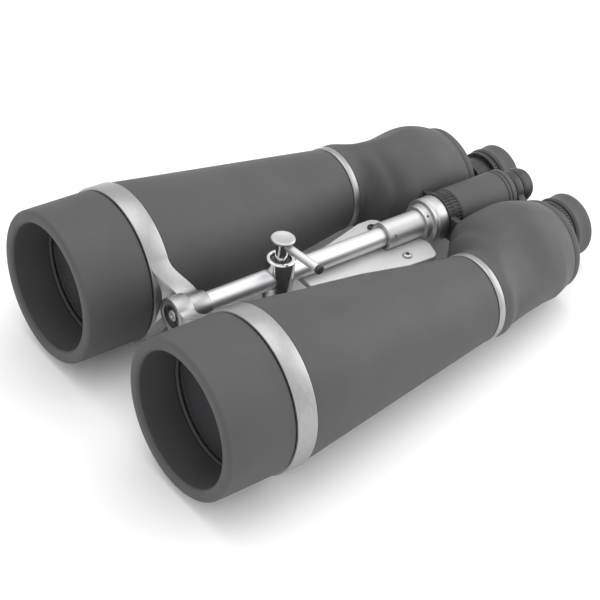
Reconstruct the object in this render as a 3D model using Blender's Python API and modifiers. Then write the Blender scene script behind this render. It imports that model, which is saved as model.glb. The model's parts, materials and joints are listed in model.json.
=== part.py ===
"""Large centre-focus Porro-prism binoculars with a sliding tripod post on the hinge rod.

Metres, +Z up. The objectives face -Y and the eyepieces +Y. The left half is the user's left, at +X.
Every piece is placed in the frame of an empty at the front rims: x across, y along the barrels from
the rims, z from the plane of the two objective axes. That empty stands so that the front bands rest on
z = 0 and the object's length is centred on y = 0.
"""

import math

import bpy
import bmesh
from mathutils import Matrix, Vector

# Fits
GAP = 0.0003            # between pieces that touch
RUN = 0.0004            # round a piece that turns or slides
SEAT = 0.0008           # round a plate inside the curved housing
STEP_IN = 0.0002        # a joined web stops this short of the ring's faces

# The two halves
AXIS_SPACING = 0.140    # between the objective axes
EYE_SPACING = 0.070     # between the eyepiece axes
EYE_DROP = 0.008        # eyepiece axes below the objective axes
ROD_RISE = 0.0091       # hinge rod above the objective axes

# Objective hood and lens
BORE_RADIUS = 0.0405
HOOD_RADIUS = 0.0485
HOOD_LENGTH = 0.0454
LIP_ROUND = 0.0026
LENS_DEPTH = 0.0285     # from the rim to the front of the lens
LENS_RADIUS = 0.0405
CELL_WALL = 0.0036
CROWN_EDGE = 0.0055     # edge thickness of the front glass
FLINT_EDGE = 0.0060
LENS_BULGE = 0.0028

# Front bracket
BAND_WIDTH = 0.0135
BAND_RADIUS = 0.0498
HUB_RADIUS = 0.0112     # the left half's knuckle, in front
REAR_HUB_RADIUS = 0.0084    # the right half's knuckle, behind it
HUB_START = 0.0424
HUB_END = 0.0675
HUB_SPLIT = 0.0533      # where the left knuckle meets the right one
WEB_SPREAD = math.radians(32)
KNUCKLE_SPREAD = math.radians(58)

# Barrel
BARREL_LENGTH = 0.1590
BARREL_FRONT = 0.0490   # outer radii of the rubber
BARREL_REAR = 0.0282
RUBBER = 0.0031
TUBE_WALL = 0.0022
TRIM_WIDTH = 0.0052
TRIM_RADIUS = 0.0287

# Prism housing
HOUSING_LENGTH = 0.0770
HOUSING_WALL = 0.0028
SPIGOT = 0.0028         # the barrel tube inside the housing
LOWER_POWER = 0.78      # under 1 squares off the section's lower inner quarter
COVER_THICK = 0.0070
COVER_ROUND = 0.0022
SHELF_PLACE = 0.0420    # middle of the prism shelf, from the housing's front
SHELF_THICK = 0.0030
SHELF_ROOM = 0.0013     # between the shelf and the housing's inner wall
PRISM_BEAM = 0.0165
PRISM_WIDTH = 0.0165
PRISM_EDGE = 0.0008

# Hinge rod and what is on it
ROD_RADIUS = 0.00645
ROD_RECESS = 0.0028     # rod end inside the front knuckle
HUB_MOUTH = 0.0073      # radius of the open front knuckle
SCREW_HEAD = 0.0036
SLEEVE_RADIUS = 0.0092
SLEEVE_REACH = 0.0462      # from the rear knuckles forward to the sleeve's front
STEP_RADIUS = 0.0116
STEP_REACH = 0.0167
COLLAR_RADIUS = 0.01475
COLLAR_REACH = 0.0117
KNUCKLE_RADIUS = 0.0154
KNUCKLE_PLACE = 0.0276     # rear knuckles, from the housing's front
KNUCKLE_WIDTH = 0.0052

# Spine plate
PLATE_REACH = 0.1117    # from the rear knuckles forward to the plate's nose
PLATE_REAR = 0.0157     # and to its rear edge
PLATE_THICK = 0.0040
PLATE_NOSE = 0.0115     # half width at the front
PLATE_HALF = 0.0262     # half width at the rear
PLATE_SCREW_X = 0.0177
PLATE_SCREW_REACH = 0.0379
PLATE_SCREW_RADIUS = 0.0032

# Focus
FOCUS_IN = 0.0030       # room for the ocular arms to draw in towards the wheel
WHEEL_RADIUS = 0.0157
WHEEL_GROOVE = 0.0006
WHEEL_GROOVE_PITCH = 0.0030
SPIGOT_RADIUS = 0.0050
SPIGOT_LENGTH = 0.0130
SHAFT_RADIUS = 0.0040
SHAFT_START = 0.0200    # from the wheel's front
ARM_GAP = 0.0072        # between the rear cover and the ocular arms

# Ocular arms and eyepieces
ARM_WIDTH = 0.0126
ARM_HUB_RADIUS = 0.0125
ARM_RING_RADIUS = 0.0178
EYE_TUBE_RADIUS = 0.0138
EYE_TUBE_BORE = 0.0108
EYE_TUBE_INSIDE = 0.0070    # reach into the housing, past the front of the rear cover
EYE_NOSE_WALL = 0.0010  # the tube's thinner nose inside the housing
EYE_BODY_RADIUS = 0.0178
EYE_BODY_LENGTH = 0.0105
EYE_RING_WIDTH = 0.0036
EYE_RING_RADIUS = 0.0204
DIOPTER_PLAY = 0.0014   # room for the right eyepiece to screw in
EYECUP_RADIUS = 0.0217
EYECUP_LENGTH = 0.0142
EYECUP_MOUTH = 0.0160
EYE_RECESS = 0.0040     # from the eyepiece body's end in to the edge of the eye lens
EYE_GLASS_RADIUS = 0.0130
EYE_GLASS_EDGE = 0.0042
EYE_GLASS_BULGE = 0.0012
CAP_RADIUS = 0.0112
CAP_LENGTH = 0.0052

# Tripod post
POST_Y = 0.1224
POST_RADIUS = 0.0092
POST_TOP = 0.0135       # above the rod's axis
POST_BOTTOM = 0.0410    # below the rod's axis
POST_CUP = 0.0066
POST_THREAD = 0.0032    # radius of the tripod hole
POST_THREAD_DEPTH = 0.0120
SHOE_THICK = 0.0018
SHOE_LENGTH = 0.0080
SHOE_HALF_ANGLE = 16    # degrees each way from the top of the rod
SHOE_ROOM = 0.00085     # between the shoe and the clamp screw's foot
CLAMP_FOOT = 0.0022
CLAMP_NECK = 0.0038
CLAMP_DISC = 0.0076
CLAMP_DISC_THICK = 0.0020
CLAMP_LENGTH = 0.0189   # from the foot's underside to the disc's top
LEVER_RADIUS = 0.0027
LEVER_REACH = 0.0330
LEVER_START = 0.0050
LEVER_TIP = 0.0026
LEVER_TURN = math.radians(6)

# Facets round the turned pieces
BIG = 24
MIDDLE = 18
SMALL = 12

# Stations along the barrels, counted from the front rims
BAND_START = HOOD_LENGTH
BARREL_START = BAND_START + BAND_WIDTH
TRIM_START = BARREL_START + BARREL_LENGTH
HOUSING_START = TRIM_START + TRIM_WIDTH
COVER_START = HOUSING_START + HOUSING_LENGTH
ARM_START = COVER_START + COVER_THICK + ARM_GAP
RING_START = ARM_START + ARM_WIDTH
BODY_START = RING_START + EYE_RING_WIDTH + DIOPTER_PLAY
OVERALL = BODY_START + EYECUP_LENGTH
KNUCKLE_START = HOUSING_START + KNUCKLE_PLACE
SLEEVE_START = KNUCKLE_START - SLEEVE_REACH
STEP_START = KNUCKLE_START - STEP_REACH
COLLAR_START = KNUCKLE_START - COLLAR_REACH
PLATE_START = KNUCKLE_START - PLATE_REACH
PLATE_END = KNUCKLE_START - PLATE_REAR
PLATE_SCREW_Y = KNUCKLE_START - PLATE_SCREW_REACH
WHEEL_START = KNUCKLE_START + 2 * KNUCKLE_WIDTH + 2 * GAP
WHEEL_END = ARM_START - FOCUS_IN
SHELF_Y = HOUSING_START + SHELF_PLACE
CLAMP_FOOT_HEIGHT = ROD_RADIUS + RUN + SHOE_THICK + SHOE_ROOM    # above the rod's axis
CLAMP_HEIGHT = CLAMP_FOOT_HEIGHT + CLAMP_LENGTH
TUBE_RADIUS = BARREL_REAR - RUBBER - GAP

EYE_CENTRE = Vector((EYE_SPACING / 2, -EYE_DROP))
OBJECTIVE_CENTRE = Vector((AXIS_SPACING / 2, 0))
ROD_CENTRE = Vector((0, ROD_RISE))


def clear_scene():
    for obj in list(bpy.data.objects):
        bpy.data.objects.remove(obj, do_unlink=True)


def new_collection(name):
    collection = bpy.data.collections.new(name)
    bpy.context.scene.collection.children.link(collection)
    return collection


def new_material(name, colour, roughness, metallic):
    material = bpy.data.materials.new(name)
    material.use_nodes = True
    shader = material.node_tree.nodes["Principled BSDF"]
    shader.inputs["Base Color"].default_value = (*colour, 1)
    shader.inputs["Roughness"].default_value = roughness
    shader.inputs["Metallic"].default_value = metallic
    return material


def new_empty(name, parent=None, location=(0, 0, 0), rotation=(0, 0, 0)):
    empty = bpy.data.objects.new(name, None)
    empty.empty_display_size = 0.02
    empty.parent = parent
    empty.location = location
    empty.rotation_euler = rotation
    parts.objects.link(empty)
    return empty


def finish(obj, parent, material, cutter=False):
    """Links the object, as a part with its material or as a hidden cutter."""
    obj.parent = parent
    if cutter:
        cutters.objects.link(obj)
        obj.hide_render = True
        obj.display_type = "WIRE"
    else:
        parts.objects.link(obj)
    if material:
        obj.data.materials.append(material)
    return obj


def turned(name, profile, parent, material=None, segments=BIG, closed=True, cutter=False):
    """A profile of (radius, station) points turned about the parent's Z axis."""
    count = len(profile)
    edges = [(i, i + 1) for i in range(count - 1)]
    if closed:
        edges.append((count - 1, 0))
    mesh = bpy.data.meshes.new(name)
    mesh.from_pydata([(radius, 0, station) for radius, station in profile], edges, [])
    obj = finish(bpy.data.objects.new(name, mesh), parent, material, cutter)
    screw = obj.modifiers.new("Turn", "SCREW")
    screw.steps = segments
    screw.render_steps = segments
    screw.use_merge_vertices = True
    screw.merge_threshold = 0.00001
    screw.use_smooth_shade = True
    return obj


def rod(name, radius, start, end, parent, material=None, segments=MIDDLE, cutter=False, bevel=0.0):
    """A solid round bar, with its ends chamfered by the bevel."""
    profile = [(0, end), (radius - bevel, end), (radius, end - bevel),
               (radius, start + bevel), (radius - bevel, start), (0, start)]
    if not bevel:
        profile = [(0, end), (radius, end), (radius, start), (0, start)]
    return turned(name, profile, parent, material, segments, closed=False, cutter=cutter)


def ring(name, inner, outer, start, end, parent, material=None, segments=BIG, cutter=False, bevel=0.0):
    """A plain ring, with its outer corners chamfered by the bevel."""
    outside = [(outer, end), (outer, start)]
    if bevel:
        outside = [(outer - bevel, end), (outer, end - bevel), (outer, start + bevel), (outer - bevel, start)]
    return turned(name, outside + [(inner, start), (inner, end)], parent, material, segments, cutter=cutter)


def arc(centre, radius, first, last, steps):
    """Points on an arc, its angles in degrees, as (radius, station) or (x, z) pairs."""
    angles = [math.radians(first + (last - first) * i / steps) for i in range(steps + 1)]
    return [(centre[0] + radius * math.cos(a), centre[1] + radius * math.sin(a)) for a in angles]


def flat_mesh(name, outline, thickness):
    """A closed plate of the outline, thick along Z about z = 0, made from a filled 2D curve."""
    curve = bpy.data.curves.new(name, "CURVE")
    curve.dimensions = "2D"
    curve.fill_mode = "BOTH"
    curve.extrude = thickness / 2
    spline = curve.splines.new("POLY")
    spline.points.add(len(outline) - 1)
    for point, (x, y) in zip(spline.points, outline):
        point.co = (x, y, 0, 1)
    spline.use_cyclic_u = True
    drawn = bpy.data.objects.new(name, curve)
    bpy.context.scene.collection.objects.link(drawn)
    graph = bpy.context.evaluated_depsgraph_get()
    mesh = bpy.data.meshes.new_from_object(drawn.evaluated_get(graph))
    bpy.data.objects.remove(drawn, do_unlink=True)
    bpy.data.curves.remove(curve)
    shaped = bmesh.new()
    shaped.from_mesh(mesh)
    bmesh.ops.remove_doubles(shaped, verts=shaped.verts, dist=0.000005)
    bmesh.ops.recalc_face_normals(shaped, faces=shaped.faces)
    shaped.to_mesh(mesh)
    shaped.free()
    mesh.materials.clear()
    return mesh


def plate_across(name, outline, start, end, parent, material=None, cutter=False):
    """A plate whose outline is in x and z, and whose thickness runs along the barrels."""
    mesh = flat_mesh(name, [(x, -z) for x, z in outline], end - start)
    obj = finish(bpy.data.objects.new(name, mesh), parent, material, cutter)
    obj.location.z = (start + end) / 2
    return obj


def boolean(obj, other, operation="DIFFERENCE", solver="EXACT"):
    modifier = obj.modifiers.new(operation.title(), "BOOLEAN")
    modifier.operation = operation
    modifier.object = other
    modifier.solver = solver
    return obj


def web_outline(ring_centre, ring_radius, ring_spread, hub_centre, hub_radius, hub_spread, steps=5):
    """A web between a ring and a hub, whose two edges leave both circles at a tangent."""
    toward = math.atan2(hub_centre.y - ring_centre.y, hub_centre.x - ring_centre.x)
    edges = []
    for turn in (-1, 1):
        ring_angle = toward + turn * ring_spread
        hub_angle = toward + math.pi - turn * hub_spread
        start = ring_centre + ring_radius * Vector((math.cos(ring_angle), math.sin(ring_angle)))
        end = hub_centre + hub_radius * Vector((math.cos(hub_angle), math.sin(hub_angle)))
        along_start = Vector((-math.sin(ring_angle), math.cos(ring_angle)))
        along_end = Vector((-math.sin(hub_angle), math.cos(hub_angle)))
        span = end - start
        reach = span.cross(along_end) / along_start.cross(along_end)
        corner = start + reach * along_start
        edge = []
        for i in range(steps + 1):
            t = i / steps
            edge.append(start * (1 - t) ** 2 + corner * 2 * t * (1 - t) + end * t ** 2)
        edges.append(edge)
    inner = ring_centre + 0.9 * ring_radius * Vector((math.cos(toward), math.sin(toward)))
    outline = edges[0] + [hub_centre] + edges[1][::-1] + [inner]
    return [(point.x, point.y) for point in outline]


def hinged_ring(name, side, ring_centre, ring_profile, ring_bore, start, end, hub_radius, hub_bore,
                hub_start, hub_end, spreads, material, parent, axis):
    """A ring round one optical axis, a web, and a knuckle on the rod that clears the other half's."""
    centre = Vector((side * ring_centre.x, ring_centre.y))
    piece = turned(name, ring_profile, axis, material)
    outer = max(radius for radius, _ in ring_profile)
    outline = web_outline(centre, outer - 0.0004, spreads[0], ROD_CENTRE, hub_radius - 0.0003, spreads[1])
    web = plate_across(name + "_web", outline, start + STEP_IN, end - STEP_IN, parent, cutter=True)
    boolean(piece, web, "UNION", "MANIFOLD")
    rod_axis = new_empty(name + "_rod_axis", parent, (0, 0, 0))
    rod_axis.location = (0, -ROD_RISE, 0)
    if hub_start > start:
        room = (start - RUN, hub_start + STEP_IN)
    else:
        room = (hub_end - STEP_IN, end + RUN)
    other = rod(name + "_room", max(hub_radius, HUB_RADIUS) + RUN, *room, rod_axis, cutter=True)
    boolean(piece, other, solver="MANIFOLD")
    knuckle = rod(name + "_knuckle", hub_radius, hub_start, hub_end, rod_axis, cutter=True, bevel=0.0006)
    boolean(piece, knuckle, "UNION", "MANIFOLD")
    hole = rod(name + "_hole", hub_bore, hub_start - RUN, hub_end + RUN, rod_axis, cutter=True)
    boolean(piece, hole, solver="MANIFOLD")
    seat = rod(name + "_seat", ring_bore, start - RUN, end + RUN, axis, cutter=True, segments=BIG)
    boolean(piece, seat, solver="MANIFOLD")
    return piece


def lens_profile(radius, start, end, front_bulge, rear_bulge, steps=2):
    """A lens from its rear centre round the edge to its front centre. A negative bulge is hollow."""
    rear = [(radius * i / steps, end + rear_bulge * (1 - (i / steps) ** 2)) for i in range(steps + 1)]
    front = [(radius * i / steps, start - front_bulge * (1 - (i / steps) ** 2)) for i in range(steps, -1, -1)]
    return rear + front


def barrel_radius(y):
    """The outer radius of the tapered rubber at station y, and of the same cone past its end."""
    share = (y - BARREL_START) / BARREL_LENGTH
    return BARREL_FRONT + (BARREL_REAR - BARREL_FRONT) * share


def housing_sections():
    """(station, centre x, centre z, outwards, up, inwards, down, slope) along the prism housing.

    The outer and lower side carries the barrel's cone on; the top and the inner side swell to take
    the prisms, between the objective axis and the eyepiece axis. A slope over 1 flattens the upper
    outer quarter of the section.
    """
    far = AXIS_SPACING / 2
    front = TUBE_RADIUS + SEAT + HOUSING_WALL
    rod_room = WHEEL_RADIUS + 0.0016
    rows = []
    for share, inward, lift, up, down, slope in (
        (0.0, 0.0, 0.0, front, front, 1.0),
        (0.10, 0.0, 0.0, front, front, 1.0),
        (0.24, 0.0065, 0.002, 0.0300, 0.0310, 1.40),
        (0.42, 0.0120, 0.004, 0.0328, 0.0340, 1.60),
        (0.66, 0.0140, 0.004, 0.0350, 0.0335, 1.36),
        (0.86, 0.0160, 0.000, 0.0345, 0.0302, 1.12),
        (1.0, 0.0180, -0.002, 0.0315, 0.0290, 1.0),
    ):
        y = HOUSING_START + share * HOUSING_LENGTH
        x = far - inward
        if share < 0.2:
            outward = reach = front
        else:
            rounding = 0.0050 * max(0, share - 0.8) / 0.2
            outward = far + barrel_radius(y) - x - rounding
            reach = x - rod_room - (0.009 if share < 0.3 else 0)
        rows.append((y, x, lift, outward, up, reach, down, slope))
    return rows


def section_points(section, count, grow=0.0):
    """Points round one housing section: quarter ellipses, squarer at the lower inner side."""
    _, x, z, outward, up, inward, down, slope = section
    points = []
    for i in range(count):
        angle = 2 * math.pi * i / count
        across, rise = math.cos(angle), math.sin(angle)
        power = 1.0
        if across < 0 and rise < 0:
            power = LOWER_POWER
        elif across > 0 and rise > 0:
            power = slope
        across = math.copysign(abs(across) ** power, across)
        rise = math.copysign(abs(rise) ** power, rise)
        wide = (outward if across > 0 else inward) + grow
        high = (up if rise > 0 else down) + grow
        points.append((x + wide * across, z + high * rise))
    return points


def housing_skin(name, side, parent, material=None, grow=0.0, cutter=False, around=12):
    """The smooth outer skin of one prism housing, lofted through its sections."""
    keep_size = 3 / (2 + math.cos(2 * math.pi / around))
    skin = bmesh.new()
    loops = []
    for section in housing_sections():
        middle = Vector((section[1], section[2]))
        loop = []
        for point in section_points(section, around, grow):
            x, z = middle + (Vector(point) - middle) * keep_size
            loop.append(skin.verts.new((side * x, -z, section[0])))
        loops.append(loop)
    for front, rear in zip(loops, loops[1:]):
        for i in range(around):
            j = (i + 1) % around
            skin.faces.new((front[i], front[j], rear[j], rear[i]))
    if cutter:
        skin.faces.new(loops[0])
        skin.faces.new(loops[-1])
    bmesh.ops.recalc_face_normals(skin, faces=skin.faces)
    centre = Vector((side * AXIS_SPACING / 2, 0, HOUSING_START + HOUSING_LENGTH / 2))
    widest = max(skin.faces, key=lambda face: abs(face.calc_center_median().x))
    if (widest.calc_center_median() - centre).dot(widest.normal) < 0:
        bmesh.ops.reverse_faces(skin, faces=skin.faces)
    if cutter:
        creased = skin.edges.layers.float.new("crease_edge")
        for loop in (loops[0], loops[-1]):
            for i, vert in enumerate(loop):
                edge = skin.edges.get((vert, loop[(i + 1) % around]))
                edge[creased] = 1.0
    mesh = bpy.data.meshes.new(name)
    skin.to_mesh(mesh)
    skin.free()
    mesh.shade_smooth()
    obj = finish(bpy.data.objects.new(name, mesh), parent, material, cutter)
    smooth = obj.modifiers.new("Smooth", "SUBSURF")
    smooth.levels = 1
    smooth.render_levels = 1
    return obj


def prism(name, centre, along, apex_way, base_y, material, parent):
    """A right-angle prism: its long face at base_y, its apex towards apex_way, its ends squared off."""
    length = (OBJECTIVE_CENTRE - EYE_CENTRE).length / math.sqrt(2) + PRISM_BEAM
    half = length / 2
    outline = [(-half, 0), (half, 0), (half, 0.0012), (0.0006, half), (-0.0006, half), (-half, 0.0012)]
    mesh = flat_mesh(name, outline, PRISM_WIDTH)
    obj = finish(bpy.data.objects.new(name, mesh), parent, material)
    x_axis = Vector((along.x, -along.y, 0)).normalized()
    y_axis = Vector((0, 0, apex_way))
    z_axis = x_axis.cross(y_axis)
    turn = Matrix((x_axis, y_axis, z_axis)).transposed()
    obj.rotation_euler = turn.to_euler()
    obj.location = (centre.x, -centre.y, base_y)
    edge = obj.modifiers.new("Edges", "BEVEL")
    edge.width = PRISM_EDGE
    edge.segments = 1
    edge.limit_method = "ANGLE"
    edge.angle_limit = math.radians(40)
    return obj


def build_objective(side, label, axis):
    """Hood, lens cell and the two glasses of one objective."""
    seat = LENS_RADIUS + CELL_WALL
    back = HOOD_LENGTH - GAP
    rim = arc((HOOD_RADIUS - LIP_ROUND, LIP_ROUND), LIP_ROUND, 0, -90, 2)
    lip = arc((BORE_RADIUS + LIP_ROUND, LIP_ROUND), LIP_ROUND, -90, -180, 2)
    cell_front = LENS_DEPTH - 0.0024
    hood = [(HOOD_RADIUS - 0.0006, back), (HOOD_RADIUS, back - 0.004)] + rim + lip
    hood += [(BORE_RADIUS, cell_front - GAP), (seat + GAP, cell_front - GAP), (seat + GAP, back)]
    turned("objective_hood_" + label, hood, axis, rubber)

    crown_end = LENS_DEPTH + CROWN_EDGE
    flint_start = crown_end + GAP
    flint_end = flint_start + FLINT_EDGE
    lip_radius = LENS_RADIUS - 0.0016
    inner = LENS_RADIUS + GAP
    cell = [(seat, back), (seat, cell_front), (lip_radius, cell_front), (lip_radius, LENS_DEPTH - GAP),
            (inner, LENS_DEPTH - GAP), (inner, back)]
    turned("objective_cell_" + label, cell, axis, black_metal)
    turned("objective_crown_" + label,
           lens_profile(LENS_RADIUS - 0.001, LENS_DEPTH, crown_end, LENS_BULGE, -0.001), axis, glass,
           closed=False)
    turned("objective_flint_" + label,
           lens_profile(LENS_RADIUS - 0.001, flint_start, flint_end, -0.0011, 0.0006), axis, glass,
           closed=False)


def build_barrel(side, label, axis, parent):
    """Front bracket, barrel tube, rubber armour and trim ring of one half."""
    tube_front = LENS_RADIUS + CELL_WALL + GAP
    band = [(BAND_RADIUS - 0.0008, BARREL_START), (BAND_RADIUS, BARREL_START - 0.0008),
            (BAND_RADIUS, BAND_START + 0.0008), (BAND_RADIUS - 0.0008, BAND_START),
            (tube_front - 0.001, BAND_START), (tube_front - 0.001, BARREL_START)]
    left = side > 0
    hub = (HUB_START, HUB_SPLIT) if left else (HUB_SPLIT + GAP, HUB_END)
    hub_radius = HUB_RADIUS if left else REAR_HUB_RADIUS
    bracket = hinged_ring("front_bracket_" + label, side, OBJECTIVE_CENTRE, band, tube_front + GAP,
                          BAND_START, BARREL_START, hub_radius, ROD_RADIUS + RUN, *hub,
                          (WEB_SPREAD, KNUCKLE_SPREAD), silver, parent, axis)
    if left:
        mouth = new_empty("hub_mouth", parent, (0, -ROD_RISE, 0))
        room = rod("hub_mouth_room", HUB_MOUTH, HUB_START - RUN, HUB_START + ROD_RECESS, mouth, cutter=True)
        boolean(bracket, room, solver="MANIFOLD")

    front = BARREL_START + GAP
    tube_end = HOUSING_START + SPIGOT
    cone = BARREL_FRONT - RUBBER - GAP
    tube = [(TUBE_RADIUS, tube_end), (TUBE_RADIUS, TRIM_START), (cone, front), (tube_front, front),
            (tube_front, BAND_START), (tube_front - TUBE_WALL, BAND_START),
            (tube_front - TUBE_WALL, front), (TUBE_RADIUS - TUBE_WALL, TRIM_START),
            (TUBE_RADIUS - TUBE_WALL, tube_end)]
    turned("barrel_tube_" + label, tube, axis, black_metal)
    armour = [(BARREL_REAR, TRIM_START - GAP), (BARREL_FRONT, front + 0.0006),
              (BARREL_FRONT - 0.0006, front + GAP), (cone + GAP, front + GAP),
              (TUBE_RADIUS + GAP, TRIM_START - GAP)]
    turned("barrel_armour_" + label, armour, axis, rubber)
    ring("trim_ring_" + label, TUBE_RADIUS + GAP, TRIM_RADIUS, TRIM_START, HOUSING_START - GAP, axis,
         silver, bevel=0.0005)


def build_housing(side, label, parent):
    """The hollow prism housing, its rear cover, and the shelf and prisms inside."""
    housing = housing_skin("prism_housing_" + label, side, parent, rubber)
    wall = housing.modifiers.new("Wall", "SOLIDIFY")
    wall.thickness = HOUSING_WALL
    wall.offset = -1
    wall.use_even_offset = True

    sections = housing_sections()
    last = sections[-1]
    cover_outline = [(side * x, z) for x, z in section_points(last, MIDDLE, -COVER_ROUND / 2)]
    cover = plate_across("rear_cover_" + label, cover_outline, COVER_START + GAP,
                         COVER_START + COVER_THICK, parent, black_plastic)
    rounding = cover.modifiers.new("Round", "BEVEL")
    rounding.width = COVER_ROUND
    rounding.segments = 2
    rounding.limit_method = "ANGLE"
    rounding.angle_limit = math.radians(60)
    eye_axis = new_empty("rear_cover_axis_" + label, parent, (side * EYE_CENTRE.x, -EYE_CENTRE.y, 0))
    boolean(cover, rod("rear_cover_bore_" + label, EYE_TUBE_RADIUS + RUN, COVER_START,
                       COVER_START + COVER_THICK + GAP, eye_axis, cutter=True))

    before, after = sections[3], sections[4]
    share = (SHELF_Y - before[0]) / (after[0] - before[0])
    middle = [a + (b - a) * share for a, b in zip(before, after)]
    shelf_outline = section_points(middle, MIDDLE, -HOUSING_WALL - SHELF_ROOM)
    shelf = plate_across("prism_shelf_" + label, [(side * x, z) for x, z in shelf_outline],
                         SHELF_Y - SHELF_THICK / 2, SHELF_Y + SHELF_THICK / 2, parent, aluminium)
    offset = EYE_CENTRE - OBJECTIVE_CENTRE
    first_step = (offset + Vector((offset.y, -offset.x))) / 2
    second_step = offset - first_step
    beams = (OBJECTIVE_CENTRE, OBJECTIVE_CENTRE + first_step, EYE_CENTRE)
    for number, beam in enumerate(beams):
        hole_axis = new_empty(f"shelf_hole_axis_{number}_{label}", parent, (side * beam.x, -beam.y, 0))
        boolean(shelf, rod(f"shelf_hole_{number}_{label}", PRISM_BEAM / 2 - 0.0005,
                           SHELF_Y - SHELF_THICK, SHELF_Y + SHELF_THICK, hole_axis, cutter=True,
                           segments=SMALL))
    rear_middle = beams[0] + first_step / 2
    front_middle = beams[1] + second_step / 2
    for name, centre, step, way in (("rear_prism_", rear_middle, first_step, 1),
                                    ("front_prism_", front_middle, second_step, -1)):
        face = SHELF_Y + way * (SHELF_THICK / 2 + GAP)
        prism(name + label, Vector((side * centre.x, centre.y)), Vector((side * step.x, step.y)), way,
              face, glass, parent)


def build_rear_knuckle(side, label, parent, envelope):
    """The black casting on one housing that turns on the rod behind the collar."""
    start = KNUCKLE_START if side > 0 else KNUCKLE_START + KNUCKLE_WIDTH + GAP
    end = start + KNUCKLE_WIDTH
    axis = new_empty("hinge_knuckle_axis_" + label, parent, (0, -ROD_RISE, 0))
    piece = ring("hinge_knuckle_" + label, ROD_RADIUS + RUN, KNUCKLE_RADIUS, start, end, axis,
                 black_metal, segments=MIDDLE, bevel=0.0006)
    reach = ROD_RISE + 0.0250
    lug = [(side * 0.0100, ROD_RISE - 0.0070), (side * reach, ROD_RISE - 0.0120),
           (side * reach, ROD_RISE + 0.0100), (side * 0.0100, ROD_RISE + 0.0080)]
    boolean(piece, plate_across("hinge_lug_" + label, lug, start, end, parent, cutter=True), "UNION")
    boolean(piece, envelope)
    return piece


def build_ocular(side, label, axis, parent):
    """Arm, sliding tube, ring, eyecup and glasses of one eyepiece."""
    left = side > 0
    split = ARM_START + ARM_WIDTH / 2
    hub = (ARM_START, split) if left else (split + GAP, RING_START)
    seat = EYE_TUBE_RADIUS + GAP
    holder = [(ARM_RING_RADIUS, RING_START), (ARM_RING_RADIUS, ARM_START),
              (seat - 0.001, ARM_START), (seat - 0.001, RING_START)]
    hinged_ring("ocular_arm_" + label, side, EYE_CENTRE, holder, seat, ARM_START, RING_START,
                ARM_HUB_RADIUS, SHAFT_RADIUS + GAP, *hub, (math.radians(48), math.radians(46)),
                black_metal, parent, axis)

    front = COVER_START - EYE_TUBE_INSIDE
    body_end = BODY_START + EYE_BODY_LENGTH
    glass_start = body_end - EYE_RECESS - EYE_GLASS_EDGE
    seat_radius = EYE_TUBE_BORE + 0.0006
    nose = seat_radius + EYE_NOSE_WALL
    tube = [(EYE_BODY_RADIUS, body_end), (EYE_BODY_RADIUS, BODY_START), (EYE_TUBE_RADIUS, BODY_START),
            (EYE_TUBE_RADIUS, COVER_START + GAP), (nose, COVER_START + GAP), (nose, front),
            (seat_radius, front), (seat_radius, front + 0.0050), (EYE_TUBE_BORE, front + 0.0050),
            (EYE_TUBE_BORE, glass_start - GAP), (EYE_GLASS_RADIUS + GAP, glass_start - GAP),
            (EYE_GLASS_RADIUS + GAP, body_end)]
    turned("eyepiece_tube_" + label, tube, axis, black_metal, MIDDLE)
    turned("field_lens_" + label, lens_profile(EYE_TUBE_BORE + 0.0002, front + 0.0008, front + 0.0044,
                                               0.0004, 0.0), axis, glass, SMALL, closed=False)
    turned("eye_lens_" + label, lens_profile(EYE_GLASS_RADIUS, glass_start, glass_start + EYE_GLASS_EDGE,
                                             EYE_GLASS_BULGE, EYE_GLASS_BULGE), axis, glass, MIDDLE,
           closed=False)
    cup_end = BODY_START + EYECUP_LENGTH
    round_over = 0.0016
    bore = EYE_BODY_RADIUS + GAP
    cup = arc((EYECUP_MOUTH + round_over, cup_end - round_over), round_over, 180, 90, 2)
    cup += arc((EYECUP_RADIUS - round_over, cup_end - round_over), round_over, 90, 0, 2)
    cup += [(EYECUP_RADIUS, BODY_START + 0.002), (EYECUP_RADIUS - 0.0012, BODY_START + GAP),
            (bore, BODY_START + GAP), (bore, body_end + GAP), (EYECUP_MOUTH, body_end + GAP)]
    turned("eyecup_" + label, cup, axis, rubber, MIDDLE)


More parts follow.
